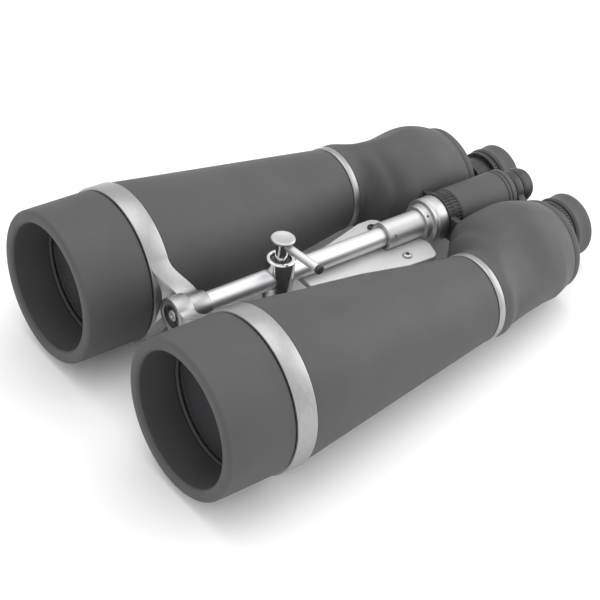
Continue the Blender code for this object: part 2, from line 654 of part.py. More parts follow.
def build_hinge(axis, parent):
    """Rod, its end screw, sleeve and collar, and the spine plate with its screws."""
    rod_front = HUB_START + ROD_RECESS + GAP
    knuckles_end = WHEEL_START - GAP
    bar = [(0, knuckles_end + SPIGOT_LENGTH), (SPIGOT_RADIUS - 0.0005, knuckles_end + SPIGOT_LENGTH),
           (SPIGOT_RADIUS, knuckles_end + SPIGOT_LENGTH - 0.0005), (SPIGOT_RADIUS, knuckles_end),
           (ROD_RADIUS, knuckles_end), (ROD_RADIUS, rod_front), (0, rod_front)]
    turned("hinge_rod", bar, axis, chrome, BIG, closed=False)
    head_front = HUB_START + 0.0008
    head = [(0, rod_front - GAP), (SCREW_HEAD, rod_front - GAP), (SCREW_HEAD, head_front + 0.0004),
            (SCREW_HEAD - 0.0004, head_front), (0.0016, head_front), (0.0016, head_front + 0.001),
            (0, head_front + 0.001)]
    turned("rod_end_screw", head, axis, silver, SMALL, closed=False)

    bore = ROD_RADIUS + GAP
    collar_end = KNUCKLE_START - GAP
    sleeve = [(COLLAR_RADIUS, collar_end), (COLLAR_RADIUS, COLLAR_START), (STEP_RADIUS, COLLAR_START),
              (STEP_RADIUS, STEP_START), (SLEEVE_RADIUS, STEP_START),
              (SLEEVE_RADIUS, SLEEVE_START + 0.0008), (SLEEVE_RADIUS - 0.0008, SLEEVE_START),
              (bore, SLEEVE_START), (bore, collar_end)]
    turned("rod_sleeve", sleeve, axis, silver)

    top = ROD_RISE - ROD_RADIUS - RUN
    screw_end = PLATE_SCREW_Y + 0.0085
    shoulder = (PLATE_START + PLATE_SCREW_Y) / 2
    bulge = (PLATE_NOSE + PLATE_HALF) / 2 - 0.0012
    outline = [(PLATE_NOSE, PLATE_START), (bulge, shoulder), (PLATE_HALF, PLATE_SCREW_Y - 0.005)]
    outline += arc((PLATE_HALF + 0.001 - 0.006, PLATE_END - 0.0085), 0.006, 0, 70, 3)
    outline += [(0.0150, PLATE_END), (-0.0130, PLATE_END), (-0.0140, screw_end + 0.004)]
    outline += arc((-PLATE_HALF + 0.0075, screw_end - 0.0075 + 0.002), 0.0075, 100, 180, 3)
    outline += [(-PLATE_HALF, PLATE_SCREW_Y - 0.005), (-bulge, shoulder), (-PLATE_NOSE, PLATE_START)]
    mesh = flat_mesh("spine_plate", outline, PLATE_THICK)
    plate = finish(bpy.data.objects.new("spine_plate", mesh), parent, silver)
    plate.location.z = top - PLATE_THICK / 2
    groove_axis = new_empty("spine_groove_axis", axis, (0, 0, 0))
    groove = [(0, PLATE_END + GAP), (STEP_RADIUS + GAP, PLATE_END + GAP),
              (STEP_RADIUS + GAP, STEP_START - GAP), (SLEEVE_RADIUS + GAP, STEP_START - GAP),
              (SLEEVE_RADIUS + GAP, SLEEVE_START - GAP), (0, SLEEVE_START - GAP)]
    boolean(plate, turned("spine_groove", groove, groove_axis, closed=False, cutter=True))
    for label, side in (("left", 1), ("right", -1)):
        upright = new_empty("plate_screw_axis_" + label, parent, (side * PLATE_SCREW_X, PLATE_SCREW_Y, top))
        boolean(plate, rod("plate_screw_hole_" + label, 0.0019, -PLATE_THICK - GAP, GAP, upright,
                           segments=SMALL, cutter=True))
        head = [(0, 0.0018), (PLATE_SCREW_RADIUS - 0.0008, 0.0018), (PLATE_SCREW_RADIUS, 0.0008),
                (PLATE_SCREW_RADIUS, GAP), (0.0015, GAP), (0.0015, -PLATE_THICK), (0, -PLATE_THICK)]
        turned("plate_screw_" + label, head, upright, black_metal, SMALL, closed=False)


def build_focus(axis):
    """Focus wheel on the rod's end, and the shaft that it draws in and out, with the cap behind."""
    end = WHEEL_END
    groove_at = [end - 0.0045 - WHEEL_GROOVE_PITCH * i for i in range(2)]
    outside = [(WHEEL_RADIUS - 0.001, end), (WHEEL_RADIUS, end - 0.001)]
    for y in groove_at:
        outside += [(WHEEL_RADIUS, y + 0.0008), (WHEEL_RADIUS - WHEEL_GROOVE, y + 0.0004),
                    (WHEEL_RADIUS - WHEEL_GROOVE, y - 0.0004), (WHEEL_RADIUS, y - 0.0008)]
    outside += [(WHEEL_RADIUS, WHEEL_START + 0.001), (WHEEL_RADIUS - 0.001, WHEEL_START)]
    pocket = WHEEL_START + SPIGOT_LENGTH + 0.0012
    inside = [(SPIGOT_RADIUS + RUN, WHEEL_START), (SPIGOT_RADIUS + RUN, pocket),
              (SHAFT_RADIUS + RUN, pocket), (SHAFT_RADIUS + RUN, end)]
    turned("focus_wheel", outside + inside, axis, rubber, BIG)
    rod("focus_shaft", SHAFT_RADIUS, WHEEL_START + SHAFT_START, RING_START, axis, silver, bevel=0.0004)
    cap_start = RING_START + GAP
    cap_end = cap_start + CAP_LENGTH
    dome = [(0, cap_end)] + arc((CAP_RADIUS - 0.0035, cap_end - 0.0035), 0.0035, 90, 0, 3)
    turned("bridge_cap", dome + [(CAP_RADIUS, cap_start), (0, cap_start)], axis, black_metal, MIDDLE,
           closed=False)


def build_eye_rings(axes):
    """The fixed ring of the left eyepiece and the diopter ring of the right one."""
    for name, axis in (("eyepiece_ring_left", axes[1]), ("diopter_ring_right", axes[-1])):
        ring(name, EYE_TUBE_RADIUS + RUN, EYE_RING_RADIUS, RING_START + RUN,
             RING_START + EYE_RING_WIDTH, axis, black_plastic, segments=MIDDLE, bevel=0.0005)


def build_post(frame):
    """The tripod post on the rod, its pressure shoe, and the clamp screw with its lever."""
    on_rod = new_empty("post_on_rod", frame, (0, POST_Y, ROD_RISE))
    post = rod("tripod_post", POST_RADIUS, -POST_BOTTOM, POST_TOP, on_rod, chrome, bevel=0.0007)
    along = new_empty("post_bore_axis", on_rod, (0, 0, 0), (-math.pi / 2, 0, 0))
    boolean(post, rod("post_rod_bore", ROD_RADIUS + RUN, -0.02, 0.02, along, segments=BIG, cutter=True))
    boolean(post, rod("post_cup", POST_CUP, 0, POST_TOP + GAP, on_rod, segments=MIDDLE, cutter=True))
    boolean(post, rod("post_thread", POST_THREAD, -POST_BOTTOM - GAP, -POST_BOTTOM + POST_THREAD_DEPTH,
                      on_rod, segments=SMALL, cutter=True))

    inner = ROD_RADIUS + RUN
    spread = SHOE_HALF_ANGLE
    saddle = arc((0, 0), inner, 90 - spread, 90 + spread, 6)
    saddle += arc((0, 0), inner + SHOE_THICK, 90 + spread, 90 - spread, 6)
    plate_across("clamp_shoe", saddle, -SHOE_LENGTH / 2, SHOE_LENGTH / 2, along, aluminium)

    foot = CLAMP_FOOT_HEIGHT
    foot_radius = POST_CUP - RUN
    disc_start = CLAMP_HEIGHT - CLAMP_DISC_THICK
    screw = [(0, CLAMP_HEIGHT), (CLAMP_DISC - 0.002, CLAMP_HEIGHT), (CLAMP_DISC, CLAMP_HEIGHT - 0.0008),
             (CLAMP_DISC, disc_start + 0.0006), (CLAMP_DISC - 0.0006, disc_start),
             (CLAMP_NECK, disc_start), (CLAMP_NECK, foot + CLAMP_FOOT), (foot_radius, foot + CLAMP_FOOT),
             (foot_radius, foot), (0, foot)]
    clamp = turned("clamp_screw", screw, on_rod, silver, MIDDLE, closed=False)
    lever_height = disc_start - LEVER_RADIUS - GAP
    out = new_empty("lever_axis", on_rod, (0, 0, lever_height), (0, math.pi / 2, LEVER_TURN))
    boolean(clamp, rod("lever_socket", LEVER_RADIUS / 2 + GAP, 0, CLAMP_NECK + 0.004, out, segments=SMALL,
                       cutter=True))
    tip_start = LEVER_REACH - LEVER_TIP
    lever = [(0, tip_start), (LEVER_RADIUS, tip_start), (LEVER_RADIUS, LEVER_START + 0.0008),
             (LEVER_RADIUS - 0.0008, LEVER_START), (LEVER_RADIUS / 2, LEVER_START),
             (LEVER_RADIUS / 2, CLAMP_NECK - 0.0025), (0, CLAMP_NECK - 0.0025)]
    turned("clamp_lever", lever, out, chrome, SMALL, closed=False)
    rod("lever_tip", LEVER_RADIUS + 0.0003, tip_start + GAP, LEVER_REACH + GAP, out, black_plastic, SMALL,
        bevel=0.0007)


clear_scene()
parts = new_collection("binoculars")
cutters = new_collection("cutters")

rubber = new_material("armour_rubber", (0.115, 0.115, 0.118), 0.62, 0.0)
silver = new_material("brushed_silver", (0.72, 0.72, 0.72), 0.32, 1.0)
chrome = new_material("polished_chrome", (0.86, 0.86, 0.87), 0.08, 1.0)
aluminium = new_material("plain_aluminium", (0.62, 0.62, 0.63), 0.45, 1.0)
black_metal = new_material("black_metal", (0.03, 0.03, 0.032), 0.42, 0.6)
black_plastic = new_material("black_plastic", (0.045, 0.045, 0.047), 0.5, 0.0)
glass = new_material("coated_glass", (0.35, 0.4, 0.42), 0.03, 0.0)

frame = new_empty("front_rims", None, (0, -OVERALL / 2, BAND_RADIUS))
along_barrels = (-math.pi / 2, 0, 0)     # local Z runs along the barrels
hinge_line = new_empty("hinge_line", frame, (0, 0, ROD_RISE), along_barrels)
build_hinge(hinge_line, frame)

eye_axes = {}
for side, label in ((1, "left"), (-1, "right")):
    # Local x is across and local y is downwards in these frames.
    turning_half = new_empty("half_" + label, hinge_line)
    half = new_empty("barrel_frame_" + label, turning_half, (0, ROD_RISE, 0))
    objective_axis = new_empty("objective_axis_" + label, half, (side * OBJECTIVE_CENTRE.x, 0, 0))
    eye_axes[side] = new_empty("eyepiece_axis_" + label, half, (side * EYE_CENTRE.x, -EYE_CENTRE.y, 0))
    build_objective(side, label, objective_axis)
    build_barrel(side, label, objective_axis, half)
    build_housing(side, label, half)
    envelope = housing_skin("housing_envelope_" + label, side, half, grow=GAP * 1.5, cutter=True)
    build_rear_knuckle(side, label, half, envelope)
    build_ocular(side, label, eye_axes[side], half)

build_focus(hinge_line)
build_eye_rings(eye_axes)
build_post(frame)
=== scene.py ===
# Large Porro-prism binoculars, lying on a pale floor.
import json
import math

import bpy
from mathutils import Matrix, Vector


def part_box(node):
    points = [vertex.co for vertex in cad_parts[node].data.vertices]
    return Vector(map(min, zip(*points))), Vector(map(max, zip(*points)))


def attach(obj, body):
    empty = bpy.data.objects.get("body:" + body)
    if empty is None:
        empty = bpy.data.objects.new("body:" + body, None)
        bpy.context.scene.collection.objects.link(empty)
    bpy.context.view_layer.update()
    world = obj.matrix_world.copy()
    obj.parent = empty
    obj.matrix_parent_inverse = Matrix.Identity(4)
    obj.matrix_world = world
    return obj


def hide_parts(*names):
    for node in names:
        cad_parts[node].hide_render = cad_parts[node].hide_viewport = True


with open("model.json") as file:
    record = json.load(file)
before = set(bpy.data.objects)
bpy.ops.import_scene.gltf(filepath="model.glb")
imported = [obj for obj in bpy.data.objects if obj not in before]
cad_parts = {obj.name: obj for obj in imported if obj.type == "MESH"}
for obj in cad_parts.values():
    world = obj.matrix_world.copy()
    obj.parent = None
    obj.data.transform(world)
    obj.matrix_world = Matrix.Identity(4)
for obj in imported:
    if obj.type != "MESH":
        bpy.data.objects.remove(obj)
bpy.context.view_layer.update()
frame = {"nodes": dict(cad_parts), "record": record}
rodAxis = Vector((0, 0, 0.0589))
bothHalves = (("left", 1), ("right", -1))
print("frame loaded")


def deselectAll():
    if bpy.context.mode != "OBJECT":
        bpy.ops.object.mode_set(mode="OBJECT")
    bpy.ops.object.select_all(action="DESELECT")


def pick(piece):
    deselectAll()
    piece.select_set(True)
    bpy.context.view_layer.objects.active = piece


def settle(piece, name):
    # the place goes into the mesh, the object back to the origin
    pick(piece)
    bpy.ops.object.transform_apply(location=True, rotation=True, scale=True)
    piece.name = name
    piece.data.name = name
    return piece


def apply(piece, modifier):
    pick(piece)
    bpy.ops.object.modifier_apply(modifier=modifier.name)


def cleanUp(piece, threshold=0.000004):
    pick(piece)
    bpy.ops.object.mode_set(mode="EDIT")
    bpy.ops.mesh.select_all(action="SELECT")
    bpy.ops.mesh.remove_doubles(threshold=threshold)
    bpy.ops.mesh.normals_make_consistent(inside=False)
    bpy.ops.object.mode_set(mode="OBJECT")


def roundEdges(piece, width, segments=2, angle=32):
    bevel = piece.modifiers.new("edges", "BEVEL")
    bevel.width = width
    bevel.segments = segments
    bevel.limit_method = "ANGLE"
    bevel.angle_limit = math.radians(angle)
    apply(piece, bevel)


def smooth(piece, angle=35):
    pick(piece)
    bpy.ops.object.shade_smooth_by_angle(angle=math.radians(angle))


def drawLine(name, points):
    # one vertex, pulled from point to point
    deselectAll()
    bpy.ops.mesh.primitive_plane_add(size=0.001, location=points[0])
    piece = settle(bpy.context.object, name)
    bpy.ops.object.mode_set(mode="EDIT")
    bpy.ops.mesh.select_mode(type="VERT")
    bpy.ops.mesh.select_all(action="SELECT")
    bpy.ops.mesh.merge(type="CENTER")
    for start, end in zip(points, points[1:]):
        step = Vector(end) - Vector(start)
        bpy.ops.mesh.extrude_vertices_move(TRANSFORM_OT_translate={"value": step})
    bpy.ops.object.mode_set(mode="OBJECT")
    return piece


def turned(name, profile, origin, axis=(0, 1, 0), steps=96, edge=0.0003, closed=True):
    # profile of (radius, place along the axis), spun about the axis
    axis = Vector(axis).normalized()
    out = axis.orthogonal().normalized()
    origin = Vector(origin)
    points = [origin + axis * along + out * radius for radius, along in profile]
    if closed:
        points.append(points[0])
    piece = drawLine(name, points)
    bpy.ops.object.mode_set(mode="EDIT")
    bpy.ops.mesh.select_all(action="SELECT")
    bpy.ops.mesh.remove_doubles(threshold=0.000004)
    bpy.ops.mesh.select_all(action="SELECT")
    bpy.ops.mesh.spin(steps=steps, angle=2 * math.pi, center=origin, axis=axis)
    bpy.ops.object.mode_set(mode="OBJECT")
    cleanUp(piece)
    if edge:
        roundEdges(piece, edge)
    smooth(piece)
    return piece


def quarter(radius, along, size, first, last, steps=6):
    # profile points on a rounding, angles in degrees from outwards towards the back
    turn = [math.radians(first + (last - first) * i / steps) for i in range(steps + 1)]
    return [(radius + size * math.cos(a), along + size * math.sin(a)) for a in turn]


def combine(piece, other, operation):
    join = piece.modifiers.new("join", "BOOLEAN")
    join.operation = operation
    join.solver = "EXACT"
    join.object = other
    apply(piece, join)
    bpy.data.objects.remove(other, do_unlink=True)


def ribbed(name, inner, outer, start, end, origin, ribs, depth, axis=(0, 1, 0)):
    # ring with pressed-in grip ribs
    piece = turned(name, [(inner, start), (outer, start), (outer, end), (inner, end)], origin, axis,
                   steps=ribs, edge=0)
    pick(piece)
    middle = Vector(origin)
    way = Vector(axis)
    for face in piece.data.polygons:
        spoke = face.center - middle
        spoke -= way * spoke.dot(way)
        face.select = spoke.length > (inner + outer) / 2 and abs(face.normal.dot(way)) < 0.3
    bpy.ops.object.mode_set(mode="EDIT")
    bpy.ops.mesh.select_mode(type="FACE")
    width = 2 * math.pi * outer / ribs
    bpy.ops.mesh.inset(thickness=width * 0.16, depth=0, use_individual=True)
    bpy.ops.mesh.inset(thickness=width * 0.18, depth=-depth, use_individual=True)
    bpy.ops.object.mode_set(mode="OBJECT")
    smooth(piece, 25)
    return piece


def wear(piece, material, slot, body, *nodes):
    piece.data.materials.clear()
    piece.data.materials.append(material)
    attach(piece, body)
    if nodes:
        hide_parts(*nodes)


def axisOf(node):
    low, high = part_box(node)
    return (low[0] + high[0]) / 2, (low[2] + high[2]) / 2


class Wire:
    # a socket's value, for arithmetic
    def __init__(self, sheet, socket):
        self.sheet = sheet
        self.socket = socket

    def __add__(self, other):
        return self.sheet.sum("ADD", self, other)

    def __radd__(self, other):
        return self.sheet.sum("ADD", other, self)

    def __sub__(self, other):
        return self.sheet.sum("SUBTRACT", self, other)

    def __rsub__(self, other):
        return self.sheet.sum("SUBTRACT", other, self)

    def __mul__(self, other):
        return self.sheet.sum("MULTIPLY", self, other)

    def __rmul__(self, other):
        return self.sheet.sum("MULTIPLY", other, self)


class Finish:
    def __init__(self, name, **constants):
        self.material = bpy.data.materials.new(name)
        self.material.use_nodes = True
        self.tree = self.material.node_tree
        self.shader = self.tree.nodes["Principled BSDF"]
        for socket, value in constants.items():
            self.shader.inputs[socket.replace("_", " ")].default_value = value
        self.place = self.add("ShaderNodeTexCoord", {}, {}, "Object")

    def add(self, kind, settings, inputs, output=0):
        node = self.tree.nodes.new(kind)
        for setting, value in settings.items():
            if setting == "stops":
                for stop, (where, shade) in zip(node.color_ramp.elements, value):
                    stop.position = where
                    stop.color = (shade, shade, shade, 1)
            else:
                setattr(node, setting, value)
        for socket, value in inputs.items():
            if isinstance(value, Wire):
                self.tree.links.new(value.socket, node.inputs[socket])
            else:
                node.inputs[socket].default_value = value
        return Wire(self, node.outputs[output])

    def sum(self, operation, first, second):
        return self.add("ShaderNodeMath", {"operation": operation}, {0: first, 1: second})

    def stretch(self, scale):
        return self.add("ShaderNodeMapping", {}, {"Vector": self.place, "Scale": scale})

    def noise(self, scale, detail=3.0, rough=0.5, where=None):
        where = where or self.place
        return self.add("ShaderNodeTexNoise", {}, {"Vector": where, "Scale": scale, "Detail": detail,
                                                   "Roughness": rough}, "Fac")

    def cells(self, scale):
        return self.add("ShaderNodeTexVoronoi", {}, {"Vector": self.place, "Scale": scale}, "Distance")

    def tint(self, dark, light, share):
        return self.add("ShaderNodeMix", {"data_type": "RGBA"},
                        {"Factor": share, 6: (*dark, 1), 7: (*light, 1)}, 2)

    def feed(self, socket, wire):
        self.tree.links.new(wire.socket, self.shader.inputs[socket])

    def bump(self, height, strength, distance):
        self.feed("Normal", self.add("ShaderNodeBump", {}, {"Height": height, "Strength": strength,
                                                            "Distance": distance}))


def rubberFinish():
    grip = Finish("rubberArmour", Roughness=0.6, Specular_IOR_Level=0.42)
    patches = grip.noise(38, 4)
    grain = grip.cells(1500)
    specks = grip.noise(900, 2)
    grip.feed("Base Color", grip.tint((0.056, 0.056, 0.058), (0.074, 0.074, 0.076), patches))
    grip.feed("Roughness", 0.52 + 0.16 * grip.noise(60, 3))
    grip.bump(grain * 0.7 + specks * 0.5, 0.32, 0.00012)
    return grip.material


def boreFinish():
    matt = Finish("bafflePaint", Roughness=0.75, Specular_IOR_Level=0.3)
    matt.feed("Base Color", matt.tint((0.046, 0.046, 0.047), (0.064, 0.064, 0.065), matt.noise(50)))
    matt.bump(matt.noise(1600, 2), 0.25, 0.0001)
    return matt.material


def silverFinish(name, dark, light, roughness, metallic=1.0):
    satin = Finish(name, Metallic=metallic, Roughness=roughness)
    lines = satin.noise(1, 4, 0.6, satin.stretch((160, 2600, 160)))
    clouds = satin.noise(24, 3)
    satin.feed("Base Color", satin.tint((dark,) * 3, (light,) * 3, clouds * 0.3 + lines * 0.7))
    satin.feed("Roughness", roughness - 0.08 + 0.2 * lines)
    satin.bump(lines, 0.3, 0.00004)
    return satin.material


def chromeFinish(name, roughness, shade):
    bright = Finish(name, Metallic=1.0, Roughness=roughness)
    pale = [level + 0.07 for level in shade]
    bright.feed("Base Color", bright.tint(shade, pale, bright.noise(30)))
    bright.feed("Roughness", roughness - 0.04 + 0.08 * bright.noise(140, 4))
    return bright.material


def blackMetalFinish():
    paint = Finish("blackCasting", Roughness=0.42, Specular_IOR_Level=0.5)
    paint.feed("Base Color", paint.tint((0.016, 0.016, 0.017), (0.030, 0.030, 0.031), paint.noise(70)))
    paint.feed("Roughness", 0.36 + 0.2 * paint.noise(260, 3))
    paint.bump(paint.noise(1900, 2), 0.2, 0.00008)
    return paint.material


def plasticFinish():
    moulded = Finish("blackMoulding", Roughness=0.5)
    moulded.feed("Base Color", moulded.tint((0.026, 0.026, 0.027), (0.040, 0.040, 0.041),
                                            moulded.noise(90)))
    moulded.bump(moulded.noise(2400, 1), 0.2, 0.00006)
    return moulded.material


def lensFinish():
    glass = Finish("coatedLens", Roughness=0.03, IOR=1.6, Coat_Weight=0.6, Coat_Roughness=0.02)
    glass.feed("Base Color", glass.tint((0.040, 0.041, 0.043), (0.060, 0.061, 0.064), glass.noise(22)))
    return glass.material


def aluminiumFinish():
    turnedMetal = Finish("machinedAluminium", Metallic=1.0, Roughness=0.4)
    lines = turnedMetal.noise(1, 3, 0.5, turnedMetal.stretch((3000, 40, 40)))
    turnedMetal.feed("Base Color", turnedMetal.tint((0.5, 0.5, 0.51), (0.62, 0.62, 0.63), lines))
    return turnedMetal.material


def floorFinish():
    paper = Finish("paleFloor", Roughness=0.85, Specular_IOR_Level=0.1)
    paper.feed("Base Color", paper.tint((0.90, 0.90, 0.90), (0.94, 0.94, 0.94), paper.noise(3)))
    return paper.material


rubber = rubberFinish()
borePaint = boreFinish()
silver = silverFinish("satinSilver", 0.42, 0.60, 0.42)
plateSilver = silverFinish("paleCasting", 0.50, 0.62, 0.45, 0.35)
bandSilver = silverFinish("brushedBand", 0.20, 0.54, 0.38)
chrome = chromeFinish("brightChrome", 0.11, (0.66, 0.66, 0.67))
rodChrome = chromeFinish("satinChrome", 0.44, (0.66, 0.66, 0.67))
blackMetal = blackMetalFinish()
plastic = plasticFinish()
lensGlass = lensFinish()
aluminium = aluminiumFinish()
finishes = {"armour_rubber": rubber, "brushed_silver": silver, "polished_chrome": chrome,
            "black_metal": blackMetal, "black_plastic": plastic, "coated_glass": lensGlass,
            "plain_aluminium": aluminium}
slotOf = {part["node"]: part["material_slot"] for part in frame["record"]["subparts"]}
for node, solid in frame["nodes"].items():
    solid.data.materials.clear()
    solid.data.materials.append(finishes[slotOf[node]])
print("finishes made")


hood = {"lip": 0.0026, "bore": 0.0405, "shoulder": 0.0006, "cellRoom": 0.0003}
cellRing = {"face": 0.0052, "chamfer": 0.0012, "step": 0.0021, "wall": 0.0033}
frontLens = {"dome": 0.0028, "hollow": 0.001, "rings": 12}


def buildHood(label, body):
    x, z = axisOf("objective_hood_" + label)
    low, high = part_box("objective_hood_" + label)
    cellLow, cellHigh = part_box("objective_cell_" + label)
    outer = (high[0] - low[0]) / 2
    length = high[1] - low[1]
    cellRadius = (cellHigh[0] - cellLow[0]) / 2 + hood["cellRoom"]
    cellFront = cellLow[1] - low[1] - hood["cellRoom"]
    lip, bore, shoulder = hood["lip"], hood["bore"], hood["shoulder"]
    profile = [(cellRadius, length), (outer - shoulder, length), (outer, length - shoulder)]
    profile += quarter(outer - lip, lip, lip, 0, -90)
    profile += quarter(bore + lip, lip, lip, -90, -180)
    profile += [(bore, cellFront), (cellRadius, cellFront)]
    piece = turned("hoodArmour_" + label, profile, (x, low[1], z), steps=128, edge=0)
    wear(piece, rubber, "armour_rubber", body, "objective_hood_" + label)
    piece.data.materials.append(borePaint)
    for face in piece.data.polygons:
        spoke = math.hypot(face.center[0] - x, face.center[2] - z)
        if spoke < bore + 0.0005 and face.center[1] > low[1] + lip - 0.0006:
            face.material_index = 1


def buildObjective(label, body):
    x, z = axisOf("objective_cell_" + label)
    low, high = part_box("objective_cell_" + label)
    outer = (high[0] - low[0]) / 2
    length = high[1] - low[1]
    opening = outer - cellRing["face"]
    chamfer, step, inner = cellRing["chamfer"], cellRing["step"], outer - cellRing["wall"]
    profile = [(outer, length), (outer, 0), (opening + chamfer, 0), (opening, chamfer), (opening, step),
               (inner, step), (inner, length)]
    cell = turned("lensCell_" + label, profile, (x, low[1], z), steps=128, edge=0.0002)
    wear(cell, blackMetal, "black_metal", body, "objective_cell_" + label)
    low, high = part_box("objective_crown_" + label)
    radius = (high[0] - low[0]) / 2
    thick = high[1] - low[1]
    dome, rings = frontLens["dome"], frontLens["rings"]
    shape = [(radius * i / rings, dome * (i / rings) ** 2) for i in range(rings + 1)]
    shape += [(radius, thick), (0, thick - frontLens["hollow"])]
    lens = turned("frontLens_" + label, shape, (x, low[1], z), steps=96, edge=0.0001, closed=False)
    wear(lens, lensGlass, "coated_glass", body, "objective_crown_" + label)


for label, side in bothHalves:
    buildHood(label, label + "_half")
    buildObjective(label, label + "_half")
print("hoods made")


def webEdges(ringCentre, ringRadius, ringSpread, hubCentre, hubRadius, hubSpread, steps):
    # two curves from the ring to the hub, leaving both circles at a tangent
    toward = math.atan2(hubCentre.y - ringCentre.y, hubCentre.x - ringCentre.x)
    edges = []
    for turn in (-1, 1):
        ringAngle = toward + turn * ringSpread
        hubAngle = toward + math.pi - turn * hubSpread
        start = ringCentre + ringRadius * Vector((math.cos(ringAngle), math.sin(ringAngle)))
        end = hubCentre + hubRadius * Vector((math.cos(hubAngle), math.sin(hubAngle)))
        alongStart = Vector((-math.sin(ringAngle), math.cos(ringAngle)))
        alongEnd = Vector((-math.sin(hubAngle), math.cos(hubAngle)))
        reach = (end - start).cross(alongEnd) / alongStart.cross(alongEnd)
        corner = start + reach * alongStart
        edges.append([start * (1 - t) ** 2 + corner * 2 * t * (1 - t) + end * t ** 2
                      for t in (i / steps for i in range(steps + 1))])
    return edges


def buildWeb(name, ringCentre, ringRadius, hubRadius, spreads, start, end, hubStart, hubEnd):
    # a grid laid between the two curves, pulled to a slab and flared towards the hub
    steps, across = 20, 6
    hubCentre = Vector((rodAxis.x, rodAxis.z))
    below, above = webEdges(ringCentre, ringRadius, spreads[0], hubCentre, hubRadius, spreads[1], steps)
    deselectAll()
    bpy.ops.mesh.primitive_grid_add(x_subdivisions=steps, y_subdivisions=across, size=1)
    web = settle(bpy.context.object, name)
    for vertex in web.data.vertices:
        i = round((vertex.co.x + 0.5) * steps)
        share = vertex.co.y + 0.5
        spot = below[i].lerp(above[i], share)
        if i == 0:
            spot = spot.lerp(ringCentre, 0.055)
        if i == steps:
            spot = spot.lerp(hubCentre, 0.12)
        vertex.co = (spot.x, start, spot.y)
    bpy.ops.object.mode_set(mode="EDIT")
    bpy.ops.mesh.select_all(action="SELECT")
    bpy.ops.mesh.extrude_region_move(TRANSFORM_OT_translate={"value": (0, end - start, 0)})
    bpy.ops.object.mode_set(mode="OBJECT")
    flareFrom = 0.0118
    flareOver = 0.42 * ((ringCentre - hubCentre).length - ringRadius) + 0.012
    for vertex in web.data.vertices:
        away = (Vector((vertex.co.x, vertex.co.z)) - hubCentre).length
        t = min(1, max(0, 1 - (away - flareFrom) / flareOver))
        flare = t * t * (3 - 2 * t)
        if vertex.co.y > (start + end) / 2:
            vertex.co.y += (hubEnd - end) * flare
        else:
            vertex.co.y += (hubStart - start) * flare
    cleanUp(web)
    roundEdges(web, 0.0006, 3, 40)
    return web


def buildHingedRing(name, centre, ringProfile, hub, spreads, material, slot, body, node):
    # a ring, a hub on the rod and the web between them, in one piece
    ringCentre = Vector(centre)
    outer = max(radius for radius, along in ringProfile)
    inner = min(radius for radius, along in ringProfile)
    start = min(along for radius, along in ringProfile)
    end = max(along for radius, along in ringProfile)
    piece = turned(name, ringProfile, (centre[0], 0, centre[1]), steps=144, edge=0.0005)
    overlap, drillLength = 0.0004, 0.2
    web = buildWeb(name + "Web", ringCentre, outer - overlap, hub["radius"] - 0.0003, spreads,
                   start + 0.0002, end - 0.0002, hub["start"] + 0.0003, hub["end"] - 0.0003)
    profile = [(hub["bore"] + overlap, hub["start"]), (hub["radius"], hub["start"]),
               (hub["radius"], hub["end"]), (hub["bore"] + overlap, hub["end"])]
    knuckle = turned(name + "Knuckle", profile, rodAxis, steps=64, edge=0.0006)
    bpy.ops.mesh.primitive_cylinder_add(vertices=64, radius=hub["bore"] + overlap, depth=drillLength,
                                        location=(rodAxis.x, (start + end) / 2, rodAxis.z),
                                        rotation=(math.pi / 2, 0, 0))
    drill = settle(bpy.context.object, name + "Drill")
    combine(web, drill, "DIFFERENCE")
    bpy.ops.object.select_all(action="DESELECT")
    bpy.ops.mesh.primitive_cylinder_add(vertices=144, radius=inner + overlap, depth=drillLength,
                                        location=(centre[0], (start + end) / 2, centre[1]),
                                        rotation=(math.pi / 2, 0, 0))
    drill = settle(bpy.context.object, name + "Drill")
    combine(web, drill, "DIFFERENCE")
    combine(piece, web, "UNION")
    combine(piece, knuckle, "UNION")
    smooth(piece)
    wear(piece, material, slot, body, node)
    return piece


bracket = {"ringRadius": 0.0498, "ringBore": 0.0450, "chamfer": 0.0008, "chamferRise": 0.0002,
           "gap": 0.0003, "spreads": (math.radians(32), math.radians(58)),
           "hubs": {"left": 0.0112, "right": 0.0084}, "hubLengths": {"left": 0.0109, "right": 0.0139},
           "bore": 0.00645, "mouth": 0.0073, "recess": 0.0028}

for label, side in bothHalves:
    node = "front_bracket_" + label
    low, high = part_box(node)
    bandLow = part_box("objective_hood_" + label)[1][1] + bracket["gap"]
    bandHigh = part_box("barrel_armour_" + label)[0][1] - bracket["gap"]
    x, z = axisOf("objective_hood_" + label)
    hub = {"radius": bracket["hubs"][label], "bore": bracket["bore"]}
    if label == "left":
        hub["start"], hub["end"] = low[1], low[1] + bracket["hubLengths"][label]
    else:
        hub["start"], hub["end"] = high[1] - bracket["hubLengths"][label], high[1]
    outer, inner, chamfer = bracket["ringRadius"], bracket["ringBore"], bracket["chamfer"]
    edge = outer - bracket["chamferRise"]
    ring = [(inner, bandLow), (edge, bandLow), (outer, bandLow + chamfer), (outer, bandHigh - chamfer),
            (edge, bandHigh), (inner, bandHigh)]
    piece = buildHingedRing("frontBracket_" + label, (x, z), ring, hub, bracket["spreads"],
                            bandSilver, "brushed_silver", label + "_half", node)
    if label == "left":
        deselectAll()
        bpy.ops.mesh.primitive_cylinder_add(vertices=64, radius=bracket["mouth"],
                                            depth=2 * bracket["recess"], rotation=(math.pi / 2, 0, 0),
                                            location=(rodAxis.x, low[1], rodAxis.z))
        combine(piece, settle(bpy.context.object, "mouthDrill"), "DIFFERENCE")
        smooth(piece)
print("brackets made")


barrel = {"front": 0.0490, "rear": 0.0282, "rubber": 0.0031, "edge": 0.0006}

